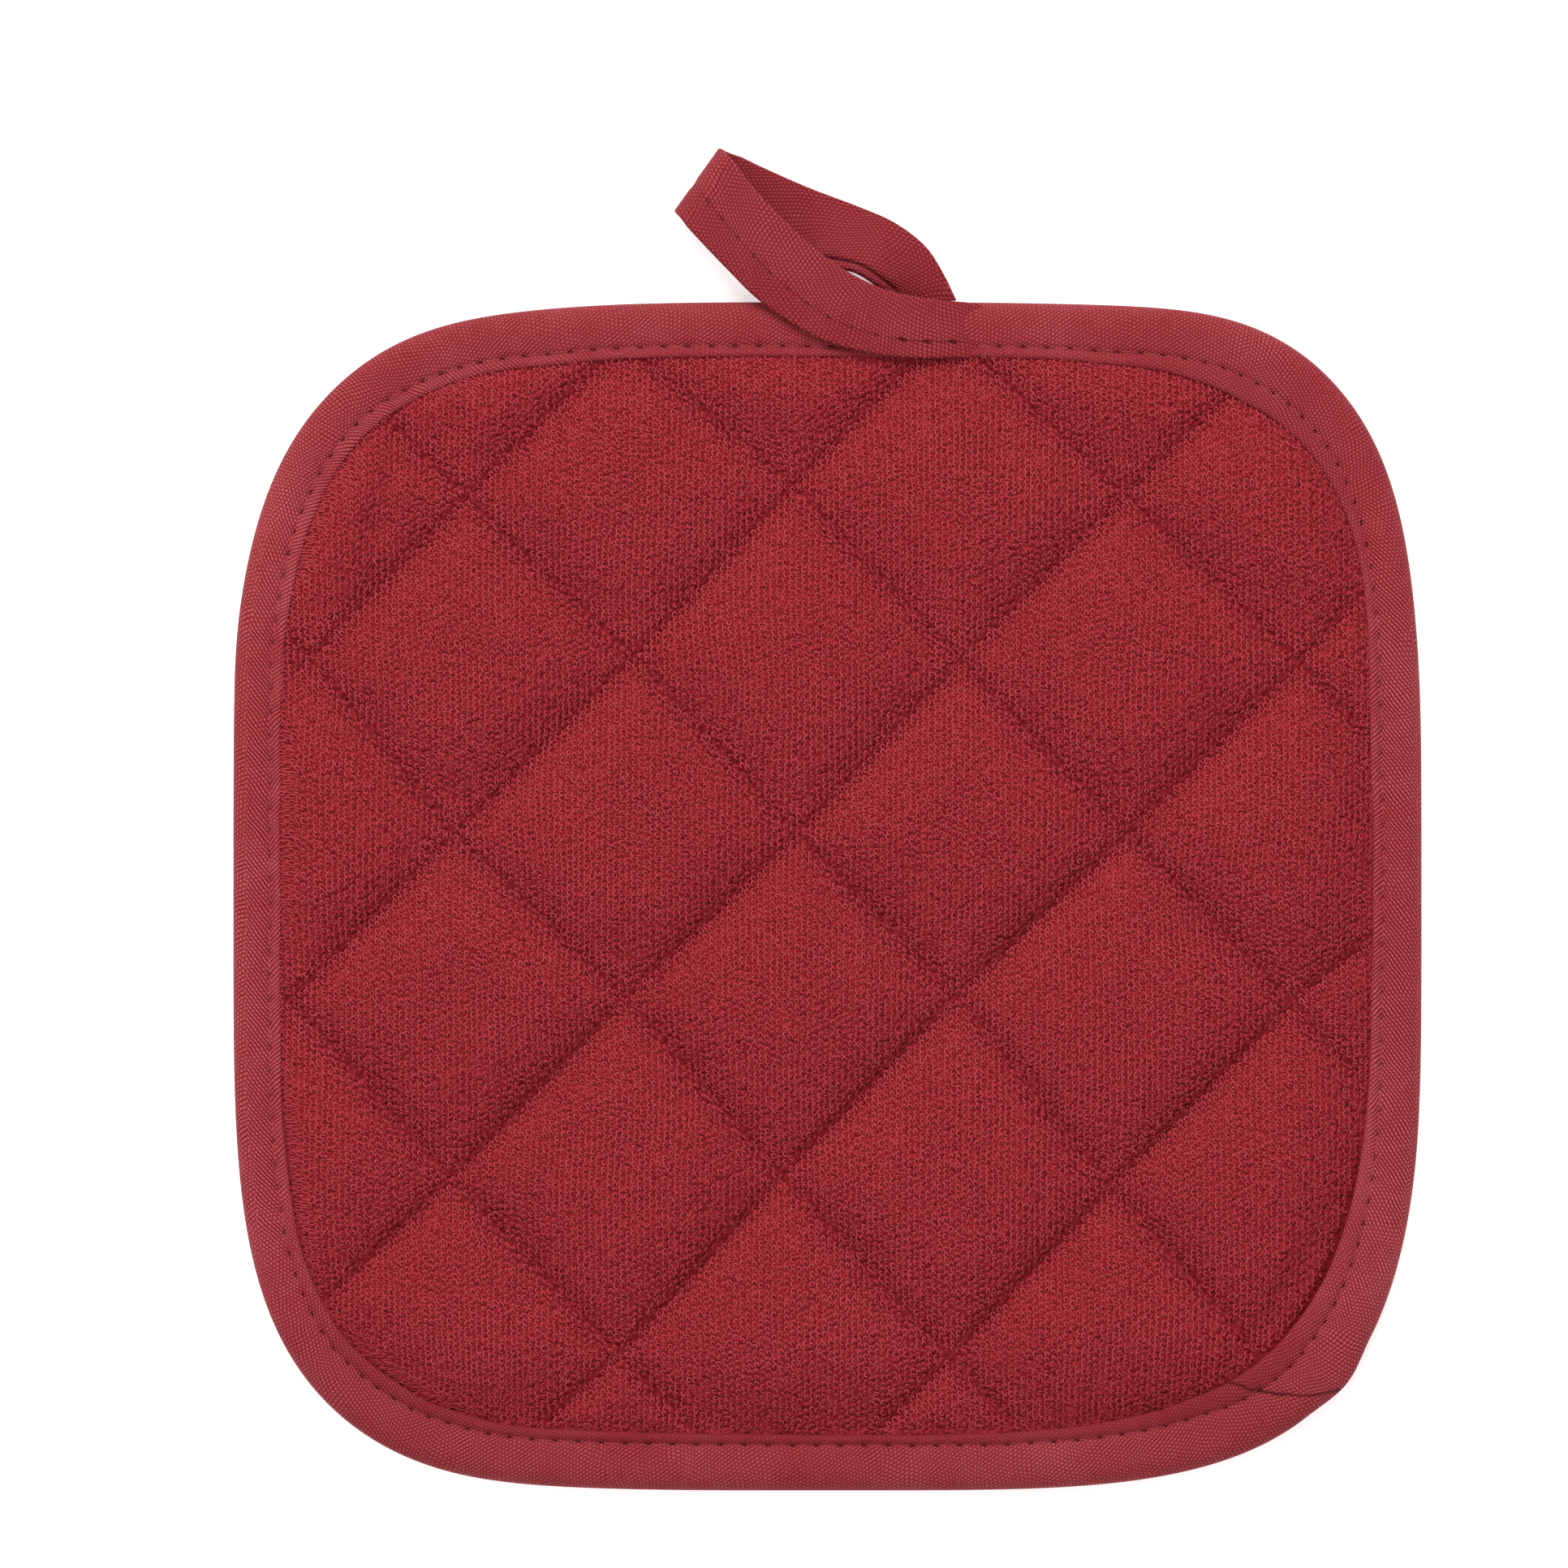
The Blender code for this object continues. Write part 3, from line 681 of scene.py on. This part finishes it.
def pile_material():
    """Cotton loops, each a little lighter or darker, with their ends deep in the ground cloth and painted
    shade towards them.

    The map named Yarn holds how near a place is to the ends of its loop, and the loop's own tone.
    """
    look = Look("terry_pile", roughness=0.9, sheen=0.06)
    place = look.place()
    near_end, own_tone, _ = look.parts(look.uv("Yarn"))
    patches = look.noise(place, scale=55.0, detail=3.0, roughness=0.6).ranged(0.3, 0.7)
    top = look.mix(patches * 0.35 + own_tone * 0.65, TERRY_MID, TERRY_LIGHT)
    # painted shade: each loop darkens towards its ends, near the ground
    yarn = look.mix(near_end.ranged(0.6, 1.0), top, TERRY_SHADE)
    return look.finished(yarn, look.noise(place, scale=5000.0, detail=1.0), YARN_RELIEF)


def base_material():
    """The ground cloth between the loops and the terry back, with its pile as relief.

    The map that it reads holds how deep a place lies in a crease or beside the lip, where the ground is
    painted darker as shade.
    """
    look = Look("terry_ground", roughness=0.95)
    place = look.place()
    given = {"Vector": place, "Scale": BACK_LOOPS_PER_METRE, "Randomness": 0.8}
    cells = new_node(look.tree, "ShaderNodeTexVoronoi", given, feature="F1")
    loop_top = Value(cells.outputs["Distance"]).ranged(0.15, 0.62, 1.0, 0.0)
    patches = look.noise(place, scale=60.0, detail=3.0, roughness=0.6).ranged(0.3, 0.7, 0.75, 1.0)
    # painted shade between the back's loops, whose tops stay lighter
    back = look.mix(loop_top * patches, TERRY_SHADE, TERRY_MID)
    tangle = look.noise(place, scale=1900.0, detail=1.0).ranged(0.4, 0.6)
    ground = look.mix(tangle, TERRY_DARK, TERRY_GROUND)
    painted_shade = look.parts(look.uv("Hidden"))[0]
    # painted shade: the ground is darker in the creases and in the gap beside the lip
    ground = look.mix(painted_shade, ground, TERRY_CREASE_SHADE)
    on_face = look.parts(place)[2].ranged(2.5 * MM, 3.5 * MM)
    return look.finished(look.mix(on_face, back, ground), loop_top, BACK_RELIEF)


def ribs(along, across, angle, pitch, knots):
    """Threads side by side at an angle to the tape, each a row of knots beside the next row's.

    Where knots is 0 the threads run on as ribs, and where it is 1 they lie as bright and dark dots.
    """
    cos, sin = math.cos(angle), math.sin(angle)
    over = (across * cos - along * sin) / pitch
    every_other = shader_math("FLOOR", over) % 2.0
    rib = half_wave(over)
    knot = half_wave((along * cos + across * sin) / KNOT_PITCH + every_other * 0.5)
    lines = rib ** 1.5 * knot.ranged(0.0, 1.0, 0.65, 1.0)
    dots = (knot * knot - 0.5) * rib + 0.5
    return lines.towards(dots, knots)


class TapeZones:
    """Shares from 0 to 1 that say where on the tape a place lies, and the map's two distances.

    The map named Tape holds places along and across the tape, and across is 0 at the stitches.
    """

    def __init__(self, look):
        self.map = look.uv("Tape")
        self.place = look.place()
        self.along, self.across, _ = look.parts(self.map)
        x, self.y, _ = look.parts(self.place)
        self.from_middle = abs(x), abs(self.y)
        corner = shader_math("MINIMUM", *self.from_middle).ranged(40 * MM, 60 * MM)
        self.on_loop = self.along > LOOP_MAP_START - 1.0
        side = self.from_middle[0].ranged(74.3 * MM, 75.5 * MM) * (1.0 - corner)
        self.end = 1.0 - most(corner, self.on_loop, side)
        self.lip = self.across.ranged(-0.25, 0.15)
        upper_left = x.ranged(-45 * MM, -15 * MM, 1.0, 0.0) * self.y.ranged(-40 * MM, -25 * MM)
        self.turned_lip = self.lip * most(side, upper_left)
        # The turned threads reach further in over the outer edge on the left than on the right.
        from_edge = self.across + x.ranged(-60 * MM, 60 * MM, 0.0, 1.6)
        self.turned_edge = from_edge.ranged(-3.9, -3.1, 1.0, 0.0) * side
        outer = from_edge.ranged(-3.6, -2.6, 0.5, 0.0)
        self.knotted = most(corner, self.on_loop, outer, self.end * 0.45) * (1.0 - self.turned_lip)
        sewn_end = LOOP_MAP_START + SEWN_RUN
        self.sewn = self.on_loop * self.along.ranged(sewn_end, sewn_end + 2, 1.0, 0.0)


def tape_weave(look, zones):
    """Brightness of the threads, from 0 to 1: plain weave on the slant.

    The threads that catch the light run inwards with the outline on the flat of the tape. They run
    the other way on the rounded outer edge of the sides, and on the lip of the sides and of the
    upper left.
    """
    wobble = (look.noise(zones.map, scale=0.13, detail=1.0) - 0.5) * 2.2
    along = zones.along + wobble
    across = zones.across + wobble * 0.4
    knots = (zones.knotted * 0.4 + look.noise(zones.map, scale=0.35)).ranged(0.4, 1.0, 0.1, 0.8)
    weave = ribs(along, across, WEAVE_ANGLE, WEAVE_PITCH, knots)
    weave = weave.towards(ribs(along, across, EDGE_ANGLE, EDGE_PITCH, knots), zones.turned_edge)
    # painted light: the turned lip's threads are lighter
    lip = ribs(along, across, LIP_ANGLE, LIP_PITCH, knots) + LIP_PAINTED_LIGHT
    weave = weave.towards(lip, zones.turned_lip)
    # The threads stand out less at the top and bottom, least of all on the lip.
    plain_lip = zones.lip - zones.turned_lip
    return weave.towards(0.5, zones.end * plain_lip.ranged(0.0, 1.0, 0.15, 0.5))


def tape_cloth(look, zones, weave):
    """Colour of the tape without its holes, with painted shade between its threads, at both ends, on the
    loop and on the low lip.
    """
    uneven = look.noise(zones.place, scale=2600.0, detail=1.0)
    patches = look.noise(zones.place, scale=70.0, detail=3.0, roughness=0.6)
    tone = (uneven * 0.5 + patches * 0.5).ranged(0.35, 0.65)
    # painted shade where the weave's brightness is low, between the threads
    cloth = look.mix(weave.ranged(0.2, 0.85), TAPE_SHADE, look.mix(tone, TAPE_MID, TAPE_LIGHT))
    # painted shade: darker at both ends, on the loop and on the lip at the bottom
    shaded = zones.from_middle[1].ranged(52 * MM, 72 * MM, 0.0, 0.21) + zones.on_loop * 0.15
    shaded = shaded + zones.lip * zones.y.ranged(-70 * MM, -60 * MM, 0.35, 0.12)
    return look.mix(shaded, cloth, TAPE_SHADE)


def needle_holes(look, zones):
    """Painted shade and dip at the needle holes: 1 in the holes and less on the line between them,
    fainter at the sides and on the loose loop.
    """
    off = shader_math("FRACT", zones.along / STITCH_PITCH + 0.5) - 0.5
    off = off * (STITCH_PITCH / HOLE_HALF_LENGTH)
    side = (zones.across + off * HOLE_SLANT) / HOLE_HALF_WIDTH
    larger = zones.sewn.ranged(0.0, 1.0, 1.0, 2.4)
    hole = ((off * off + side * side) / larger).ranged(0.6, 1.3, 1.0, 0.0)
    between = zones.on_loop.ranged(0.0, 1.0, 0.08, 0.5)
    line = abs(zones.across).ranged(0.04, 0.16, 1.0, 0.0) * between
    strength = zones.from_middle[0].ranged(74.5 * MM, 76.5 * MM, 1.0, 0.5)
    strength = strength * (zones.on_loop - zones.sewn).ranged(0.0, 1.0, 1.0, 0.7)
    strength = strength * look.noise(zones.map, scale=0.3).ranged(0.35, 0.55, 0.4, 1.0)
    return most(hole, line) * strength


def loop_slit(zones):
    """Painted shade and dip in the slit between the folded edges of the loop's back leg."""
    start, end = [LOOP_MAP_START + along for along in SLIT_RUN]
    run = zones.along.ranged(start, start + 2) * zones.along.ranged(end - 2, end, 1.0, 0.0)
    return abs(zones.across - LOOP_MAP_UNDER).ranged(0.06, 0.26, 0.85, 0.0) * run


def join_line(look, place):
    """Painted shadow below the folded edge across the tape at its join."""
    x, y, z = look.parts(place)
    x = x / MM
    off = x - JOIN_LINE_MIDDLE
    uneven = look.noise(place, scale=500.0) + (JOIN_LINE_LEVEL - 0.5)
    gap = abs(y / MM - (off * off * JOIN_LINE_BEND + uneven))
    on_face = z > 4.5 * MM
    return gap.ranged(0.05, 0.3, 0.85, 0.0) * (x > JOIN_LINE_START) * on_face


def tape_material():
    """Bias tape with its weave, its needle holes, the slit in the loop and the line of the join, the last
    three with painted shade.
    """
    look = Look("bias_tape", roughness=0.8, sheen=0.05)
    zones = TapeZones(look)
    weave = tape_weave(look, zones)
    holes = most(needle_holes(look, zones), loop_slit(zones))
    dark = most(holes, join_line(look, zones.place))
    # painted shade in the holes, in the slit and under the join's folded edge
    cloth = look.mix(dark, tape_cloth(look, zones, weave), HOLE_SHADE)
    return look.finished(cloth, weave - holes, WEAVE_RELIEF)


def plain_cotton(name, low, high):
    look = Look(name, roughness=0.8, sheen=0.05)
    shade = look.noise(look.place(), scale=900.0).ranged(0.35, 0.65)
    return look.finished(look.mix(shade, low, high))


# -------- pad

def pad_base(shape, material):
    """The filled pad: a grid of cells below and above, closed by a wall round its edge."""
    reach = math.ceil(HALF_SIZE / BASE_STEP)
    line = np.arange(-reach, reach + 1) * BASE_STEP
    grid = np.stack(np.meshgrid(line, line, indexing="ij"), axis=-1).reshape(-1, 2)
    cells = grid_faces(len(line), len(line))[:, [0, 3, 2, 1]]
    cells = cells[shape.inside_lip(grid[cells[:, 0]] + BASE_STEP / 2) > -BASE_REACH]
    used, face = np.unique(cells, return_inverse=True)
    face = face.reshape(cells.shape)
    plan = grid[used]
    count = len(plan)
    # A side of a cell is on the rim where no other cell has it the other way round.
    sides = np.stack([face, np.roll(face, -1, axis=1)], axis=-1).transpose(1, 0, 2).reshape(-1, 2)
    start, end = sides[~np.isin(sides @ (1, count), sides @ (count, 1))].T
    wall = np.stack([start + count, end + count, end, start], axis=1)
    faces = np.vstack([face, face[:, ::-1] + count, wall])
    corners = np.column_stack([np.tile(plan, (2, 1)), np.append(shape.ground(plan), shape.back(plan))])
    painted_shade = np.tile(shape.painted_shade(plan), 2)
    return mesh_object(
        "pad_base", corners, faces, material,
        Hidden=np.column_stack([painted_shade, painted_shade]), OFBake=side_map(corners, np.repeat([0, 1], count)),
    )


def pile_places(shape):
    """Where each loop stands: wavy columns, each with rows of its own."""
    columns = int(HALF_SIZE / PILE_PITCH_ACROSS)
    rows = int(HALF_SIZE / PILE_PITCH_UP) + 1
    i, j = np.mgrid[-columns:columns + 1, -rows:rows + 1]
    random = np.random.default_rng(11)
    stagger = 0.5 * (i % 2) + random.uniform(-0.12, 0.12, 2 * columns + 1)[i + columns]
    places = np.stack([i * PILE_PITCH_ACROSS, (j + stagger) * PILE_PITCH_UP], axis=-1).reshape(-1, 2)
    bend = np.stack([drift(places, 14.0, 5), drift(places, 11.0, 6)], axis=1)
    jitter = random.normal(0.0, 1.0, places.shape) * (0.045, 0.085)
    places = places + bend * (0.45, 0.55) + jitter
    rising, falling = shape.seam_distances(places)
    clear = (rising > CREASE_GAP) & (falling > CREASE_GAP)
    return places[clear & (shape.inside_lip(places) > shape.lip_gap(places) * 1.4 - 0.2)]


class LoopForms:
    """How each terry loop is turned, tilted, sized and toned, no two alike."""

    def __init__(self, places, combed):
        count = len(places)
        random = np.random.default_rng(12)
        self.turn = PILE_FACING + 0.9 * drift(places, 9.0, 7) + random.normal(0.0, 0.6, count)
        tilt = PILE_TILT + 0.45 * drift(places, 7.0, 8) + random.normal(0.0, 0.2, count)
        self.tilt = tilt + combed * (math.pi / 2 - tilt)
        self.size = PILE_RADIUS * random.uniform(0.88, 1.12, count)
        self.longer = random.uniform(0.2, 0.65, count) + 1.2 * combed
        self.sweep = PILE_SWEEP * random.uniform(0.85, 1.06, count)
        self.rise = PILE_RISE * random.uniform(0.8, 1.2, count)
        self.lean = 0.16 * random.uniform(0.0, 1.0, count)
        self.leaning = random.uniform(-math.pi, math.pi, count)
        self.tone = random.uniform(0.0, 1.0, count)


def yarn_corners(shape, places, forms):
    """Corners of every loop: an open ring whose ends go down into the ground cloth."""
    ground = np.column_stack([places, shape.face(places)])
    normal = normals_of(shape.face, places)
    first = unit(np.cross((0.0, 1.0, 0.0), normal))
    second = np.cross(normal, first)
    long_way = second * np.cos(forms.tilt)[:, None] - first * np.sin(forms.tilt)[:, None]
    rings = []
    for share in np.arange(PILE_SEGMENTS + 1) / PILE_SEGMENTS - 0.5:
        angle = forms.turn + forms.sweep * share
        lift = max(math.cos(math.pi * share), 0.0) ** 0.25
        height = forms.rise * (1.3 * lift - 0.7) + forms.lean * np.cos(angle - forms.leaning)
        out = first * np.cos(angle)[:, None] + second * np.sin(angle)[:, None]
        reach = out + long_way * ((out * long_way).sum(axis=1) * forms.longer)[:, None]
        centre = ground + reach * forms.size[:, None] + normal * height[:, None]
        for around in YARN_PROFILE:
            offset = out * math.cos(around) + normal * math.sin(around)
            rings.append(centre + offset * YARN_RADIUS)
    return np.stack(rings, axis=1)


def pile_loops(shape, material):
    """Terry loops as small open rings of yarn, in pieces from the bottom of the pad to the top."""
    places = pile_places(shape)
    forms = LoopForms(places, shape.combed(places))
    corners = yarn_corners(shape, places, forms)
    per_loop = corners.shape[1]
    near_end = np.repeat(np.abs(np.linspace(-1, 1, PILE_SEGMENTS + 1)), len(YARN_PROFILE))
    one_loop = grid_faces(PILE_SEGMENTS + 1, len(YARN_PROFILE))
    order = np.argsort(places[:, 1], kind="stable")
    pieces = []
    for number, part in enumerate(np.array_split(order, PILE_PIECES), start=1):
        own = corners[part].reshape(-1, 3)
        yarn = np.column_stack([np.tile(near_end, len(part)), np.repeat(forms.tone[part], per_loop)])
        bake = (own[:, :2] + HALF_SIZE) / (2 * HALF_SIZE)
        faces = repeated(one_loop, len(part), per_loop)
        pieces.append(mesh_object(f"terry_pile_{number}", own, faces, material, Yarn=yarn, OFBake=bake))
    return pieces


# -------- binding

def smoothed(rows, substeps):
    """The rows with more rows between them, on a Catmull-Rom curve through them all."""
    rows = np.array(rows, dtype=float)
    padded = np.vstack([2 * rows[0] - rows[1], rows, 2 * rows[-1] - rows[-2]])
    result = []
    for i in range(1, len(padded) - 2):
        before, here, there, after = padded[i - 1:i + 3]
        for step in range(substeps):
            t = step / substeps
            blend = 2 * here + (there - before) * t
            blend = blend + (2 * before - 5 * here + 4 * there - after) * t ** 2
            blend = blend + (3 * here - before - 3 * there + after) * t ** 3
            result.append(blend / 2)
    result.append(rows[-1])
    return np.array(result)


def join_crease(points):
    """How much a place dips at the folded edge across the tape and rises beyond it, from 0 to 1."""
    off = points[:, 1] - JOIN_LINE_LEVEL - JOIN_LINE_BEND * (points[:, 0] - JOIN_LINE_MIDDLE) ** 2
    along = clamped(points[:, 0] - JOIN_LINE_START)
    return along * np.exp(-(off / JOIN_CREASE_REACH) ** 2), along * (off > 0) * np.exp(-off / 2.2)


def tape_rings(section, on_face, along):
    """Rings round the edge, one for each row of the section."""
    places, outward = outline_stations(len(along))
    width = binding_width(places, outward)
    widening = corner_widening(places, outward)
    join = join_share(places)
    at_stitch = np.cos(along * (math.pi / STITCH_PITCH)) ** 2
    wave = drift(np.column_stack([along, along * 0]), 6.0, 21)
    slow = drift(np.column_stack([along, along * 0 + 40]), 22.0, 22)
    rings = []
    for (share, lip_share, distance, height), puffed in zip(section, on_face):
        inset = share * width + lip_share * widening + distance
        level = np.full(len(along), height)
        if puffed:
            off = abs(distance + STITCH_INSET) + 9 * abs(share - 1) + 2 * abs(lip_share + STITCH_WIDENING)
            groove = math.exp(-(off / STITCH_GROOVE_REACH) ** 2)
            inset = inset - JOIN_BULGE * join * (1.0 - share) - (0.12 * wave + 0.15 * slow) * share
            level = level - groove * (0.03 + 0.28 * at_stitch) + 0.1 * slow + 0.06 * wave * share
        ring = inset_ring(places, outward, inset)
        if puffed and share > 0.2:
            dent, step_up = join_crease(ring)
            level = level - 0.4 * dent + 0.22 * step_up
        rings.append(np.column_stack([ring, level]))
    return np.stack(rings)


def binding_piece(material):
    """The folded tape round the edge, pulled in at each stitch and puffed at its lip."""
    count = STITCHES * STATIONS_PER_STITCH
    along = np.arange(count) * STITCH_PITCH / STATIONS_PER_STITCH
    outside = smoothed(OUTSIDE_SECTION, SECTION_SUBSTEPS)
    section = np.vstack([outside, INSIDE_SECTION])
    on_face = (np.arange(len(section)) < len(outside)) & (section[:, 3] > FACE_LEVEL)
    corners = tape_rings(section, on_face, along)
    steps = np.linalg.norm(np.diff(corners, axis=0), axis=2)
    across = np.vstack([along * 0, np.cumsum(steps, axis=0)])
    across -= across[np.argmin(np.abs(section - STITCH_ROW).sum(axis=1))]
    tape = np.dstack([np.broadcast_to(along, across.shape), across])
    # One more column repeats the first, so that the map named Tape runs on past the start.
    corners = np.concatenate([corners, corners[:, :1]], axis=1).reshape(-1, 3)
    tape = np.concatenate([tape, tape[:, :1] + (STITCHES * STITCH_PITCH, 0)], axis=1).reshape(-1, 2)
    faces = grid_faces(len(section), count + 1, closed_rows=True)
    bake = side_map(corners, np.repeat(section[:, 3] < SECTION_MIDDLE, count + 1))
    return welded(mesh_object("binding_tape", corners, faces, material, Tape=tape, OFBake=bake))


def welded(piece):
    """The piece with its doubled corners joined, its open ends closed and its faces outwards."""
    mesh = bmesh.new()
    mesh.from_mesh(piece.data)
    bmesh.ops.remove_doubles(mesh, verts=mesh.verts, dist=1e-7)
    bmesh.ops.holes_fill(mesh, edges=[edge for edge in mesh.edges if edge.is_boundary], sides=0)
    bmesh.ops.recalc_face_normals(mesh, faces=mesh.faces)
    mesh.to_mesh(piece.data)
    mesh.free()
    return piece


def threads(name, starts, ends, arch, material):
    """Short threads from start to end, each rising in the middle."""
    upwards = np.array([0.0, 0.0, 1.0])
    steps = np.linspace(0, 1, THREAD_STEPS + 1)
    middle = starts[:, None] + (ends - starts)[:, None] * steps[:, None]
    middle[..., 2] += np.sin(math.pi * steps) ** 0.5 * arch - 0.5 * arch
    side = np.cross(unit(ends - starts), upwards)
    rings = []
    for turn in np.arange(THREAD_SIDES) * 2 * math.pi / THREAD_SIDES + math.pi / 4:
        offset = side * math.cos(turn) + upwards * math.sin(turn)
        rings.append(middle + offset[:, None] * THREAD_RADIUS)
    corners = np.stack(rings, axis=2).reshape(-1, 3)
    one_thread = grid_faces(THREAD_STEPS + 1, THREAD_SIDES, closed_columns=True)
    faces = repeated(one_thread, len(starts), (THREAD_STEPS + 1) * THREAD_SIDES)
    return mesh_object(name, corners, faces, material)


def binding_stitches(material):
    """The thread between the needle holes along the binding's face, and the bar tack."""
    places, outward = outline_stations(STITCHES * STATIONS_PER_STITCH)
    line = inset_ring(places, outward, stitch_inset(places, outward))[::STATIONS_PER_STITCH]
    starts = np.column_stack([line, np.full(STITCHES, THREAD_LEVEL)])
    ends = np.roll(starts, -1, axis=0)
    gap = (ends - starts) * (HOLE_HALF_LENGTH / STITCH_PITCH)
    tack = np.array([[(*place, BAR_TACK_LEVEL) for place in thread] for thread in BAR_TACK])
    starts, ends = np.vstack([starts + gap, tack[:, 0]]), np.vstack([ends - gap, tack[:, 1]])
    return threads("binding_stitches", starts, ends, 0.12, material)


def quilting_threads(shape, material):
    """The quilting thread at the bottom of the rising seams, stitch after stitch."""
    stitches = []
    for line in shape.rising:
        for start, end in zip(line[:-1], line[1:]):
            count = max(int(np.linalg.norm(end - start) / QUILT_STITCH), 1)
            shares = (np.arange(count)[:, None] + QUILT_STITCH_SHARES) / count
            stitches.append(start + (end - start) * shares[..., None])
    stitches = np.vstack(stitches) - RISING_SHIFT
    stitches = stitches[shape.inside_lip(stitches.mean(axis=1)) > 0.5]
    level = shape.face(stitches.mean(axis=1)) + QUILT_LIFT
    starts, ends = [np.column_stack([stitches[:, side], level]) for side in (0, 1)]
    return threads("quilting_threads", starts, ends, 0.1, material)


# -------- hanging loop

def fold_rows():
    """Lines across the strip round the fold, from the front leg's side to the back leg's."""
    upper, lower = np.array(FOLD_UPPER), np.array(FOLD_LOWER)
    along = unit(upper - lower)
    inward = np.array([along[1], -along[0]])
    radius = (FOLD_TOP - FOLD_BOTTOM) / 2
    rows = []
    for step in range(FOLD_STEPS + 1):
        angle = math.pi * step / FOLD_STEPS
        distance = LOOP_THICKNESS / 2 + radius * (1 - math.sin(angle))
        slide = FOLD_SLIDE * radius * math.copysign(1 - math.sin(angle), angle - math.pi / 2)
        height = FOLD_BOTTOM + radius * (1 + math.cos(angle))
        shift = inward * distance + along * slide
        rows.append((*(upper + shift), height, *(lower + shift), height))
    return rows


def loop_piece(material):
    """The hanging loop: a folded strip with round edges, a flat fold and a sewn front end."""
    rows = smoothed(LOOP_FRONT + fold_rows() + LOOP_BACK, LOOP_SUBSTEPS)
    outer, inner = rows[:, :3], rows[:, 3:]
    middle = (outer + inner) / 2
    reached = np.append(0.0, np.cumsum(np.linalg.norm(np.diff(middle, axis=0), axis=1)))
    across = inner - outer
    width = np.linalg.norm(across, axis=1)
    normal = unit(np.cross(np.gradient(middle, axis=0), across))
    stitch = np.interp(reached, [12.0, 45.0], LOOP_STITCH_SHARES)
    slit = clamped((reached - SLIT_RUN[0]) / 2) * clamped((SLIT_RUN[1] - reached) / 2)
    # Both edges are there twice, once for each side, so that the map named Tape can part there.
    profile = [(share, 1) for share in LOOP_SHARES] + [(share, -1) for share in LOOP_SHARES[::-1]]
    rings, tape = [], []
    for share, side in profile:
        round_off = min(1.0, min(share, 1 - share) / LOOP_EDGE_SHARE)
        half = LOOP_THICKNESS / 2 * math.sqrt(1 - (1 - round_off) ** 2)
        if side > 0:
            crease = 0.14 * np.exp(-((share - stitch) / 0.045) ** 2)
            place = (share - stitch) * width
        else:
            crease = -SLIT_DEPTH * math.exp(-((share - SLIT_SHARE) / 0.022) ** 2) * slit
            place = (share - SLIT_SHARE) * width + LOOP_MAP_UNDER
        rings.append(outer + across * share + normal * np.reshape(side * half - crease, (-1, 1)))
        tape.append(np.column_stack([reached + LOOP_MAP_START, place]))
    corners = np.stack(rings, axis=1).reshape(-1, 3)
    tape = np.stack(tape, axis=1).reshape(-1, 2)
    faces = grid_faces(len(rows), len(profile), closed_columns=True)
    return welded(mesh_object("hanging_tape", corners, faces, material, Tape=tape))


# -------- stage

def stage():
    """A pale floor just below the part, which glows a little."""
    look = Look("pale_floor", roughness=0.9)
    look.set({"Base Color": FLOOR_COLOUR, "Emission Color": WHITE, "Emission Strength": FLOOR_GLOW})
    bpy.ops.mesh.primitive_plane_add(size=4.0, location=(0, 0, FLOOR_LEVEL * MM))
    floor = bpy.context.object
    floor.name = "floor"
    floor.data.materials.append(look.material)


def area_light(name, place, size, power):
    """A round light that points at the middle of the part."""
    data = bpy.data.lights.new(name, "AREA")
    data.shape = "DISK"
    data.size = size
    data.energy = power
    lamp = placed(name, data)
    lamp.location = place
    lamp.rotation_euler = (-Vector(place)).to_track_quat("-Z", "Y").to_euler()


def lights():
    area_light("window", place=(-0.1, 0.92, 1.08), size=0.9, power=16.0)
    area_light("fill", place=(-0.5, -0.3, 1.3), size=1.2, power=4.0)
    world = bpy.data.worlds.new("studio")
    world.use_nodes = True
    background = world.node_tree.nodes["Background"]
    background.inputs["Color"].default_value = WHITE
    background.inputs["Strength"].default_value = SKY_STRENGTH
    bpy.context.scene.world = world
    bpy.context.scene.view_settings.view_transform = "Standard"


def camera():
    """Straight above the face, framed as the photograph is."""
    middle = PHOTO_PIXELS / 2
    x = (middle - PAD_CENTRE_PIXEL[0]) * MM_PER_PIXEL
    y = (PAD_CENTRE_PIXEL[1] - middle) * MM_PER_PIXEL
    distance = PHOTO_PIXELS * MM_PER_PIXEL * LENS_MM / SENSOR_MM
    data = bpy.data.cameras.new("camera")
    data.lens = LENS_MM
    data.sensor_width = SENSOR_MM
    data.clip_start = 0.01
    lens = placed("camera", data)
    lens.location = (x * MM, y * MM, (distance + FACE_LEVEL) * MM)
    bpy.context.scene.camera = lens


# -------- the part

def build():
    shape = PadShape()
    tape = tape_material()
    base = pad_base(shape, base_material())
    pile = pile_loops(shape, pile_material())
    binding = binding_piece(tape)
    loop = loop_piece(tape)
    stitches = binding_stitches(plain_cotton("thread", THREAD_RED, THREAD_LIGHT))
    quilting = quilting_threads(shape, plain_cotton("quilting_thread", TERRY_DARK, TERRY_MID))
    for piece in (base, *pile, binding, loop, stitches, quilting):
        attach(piece, "root")
    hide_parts("pad")
    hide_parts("binding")
    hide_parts("hanging_loop")


stage()
camera()
lights()
build()
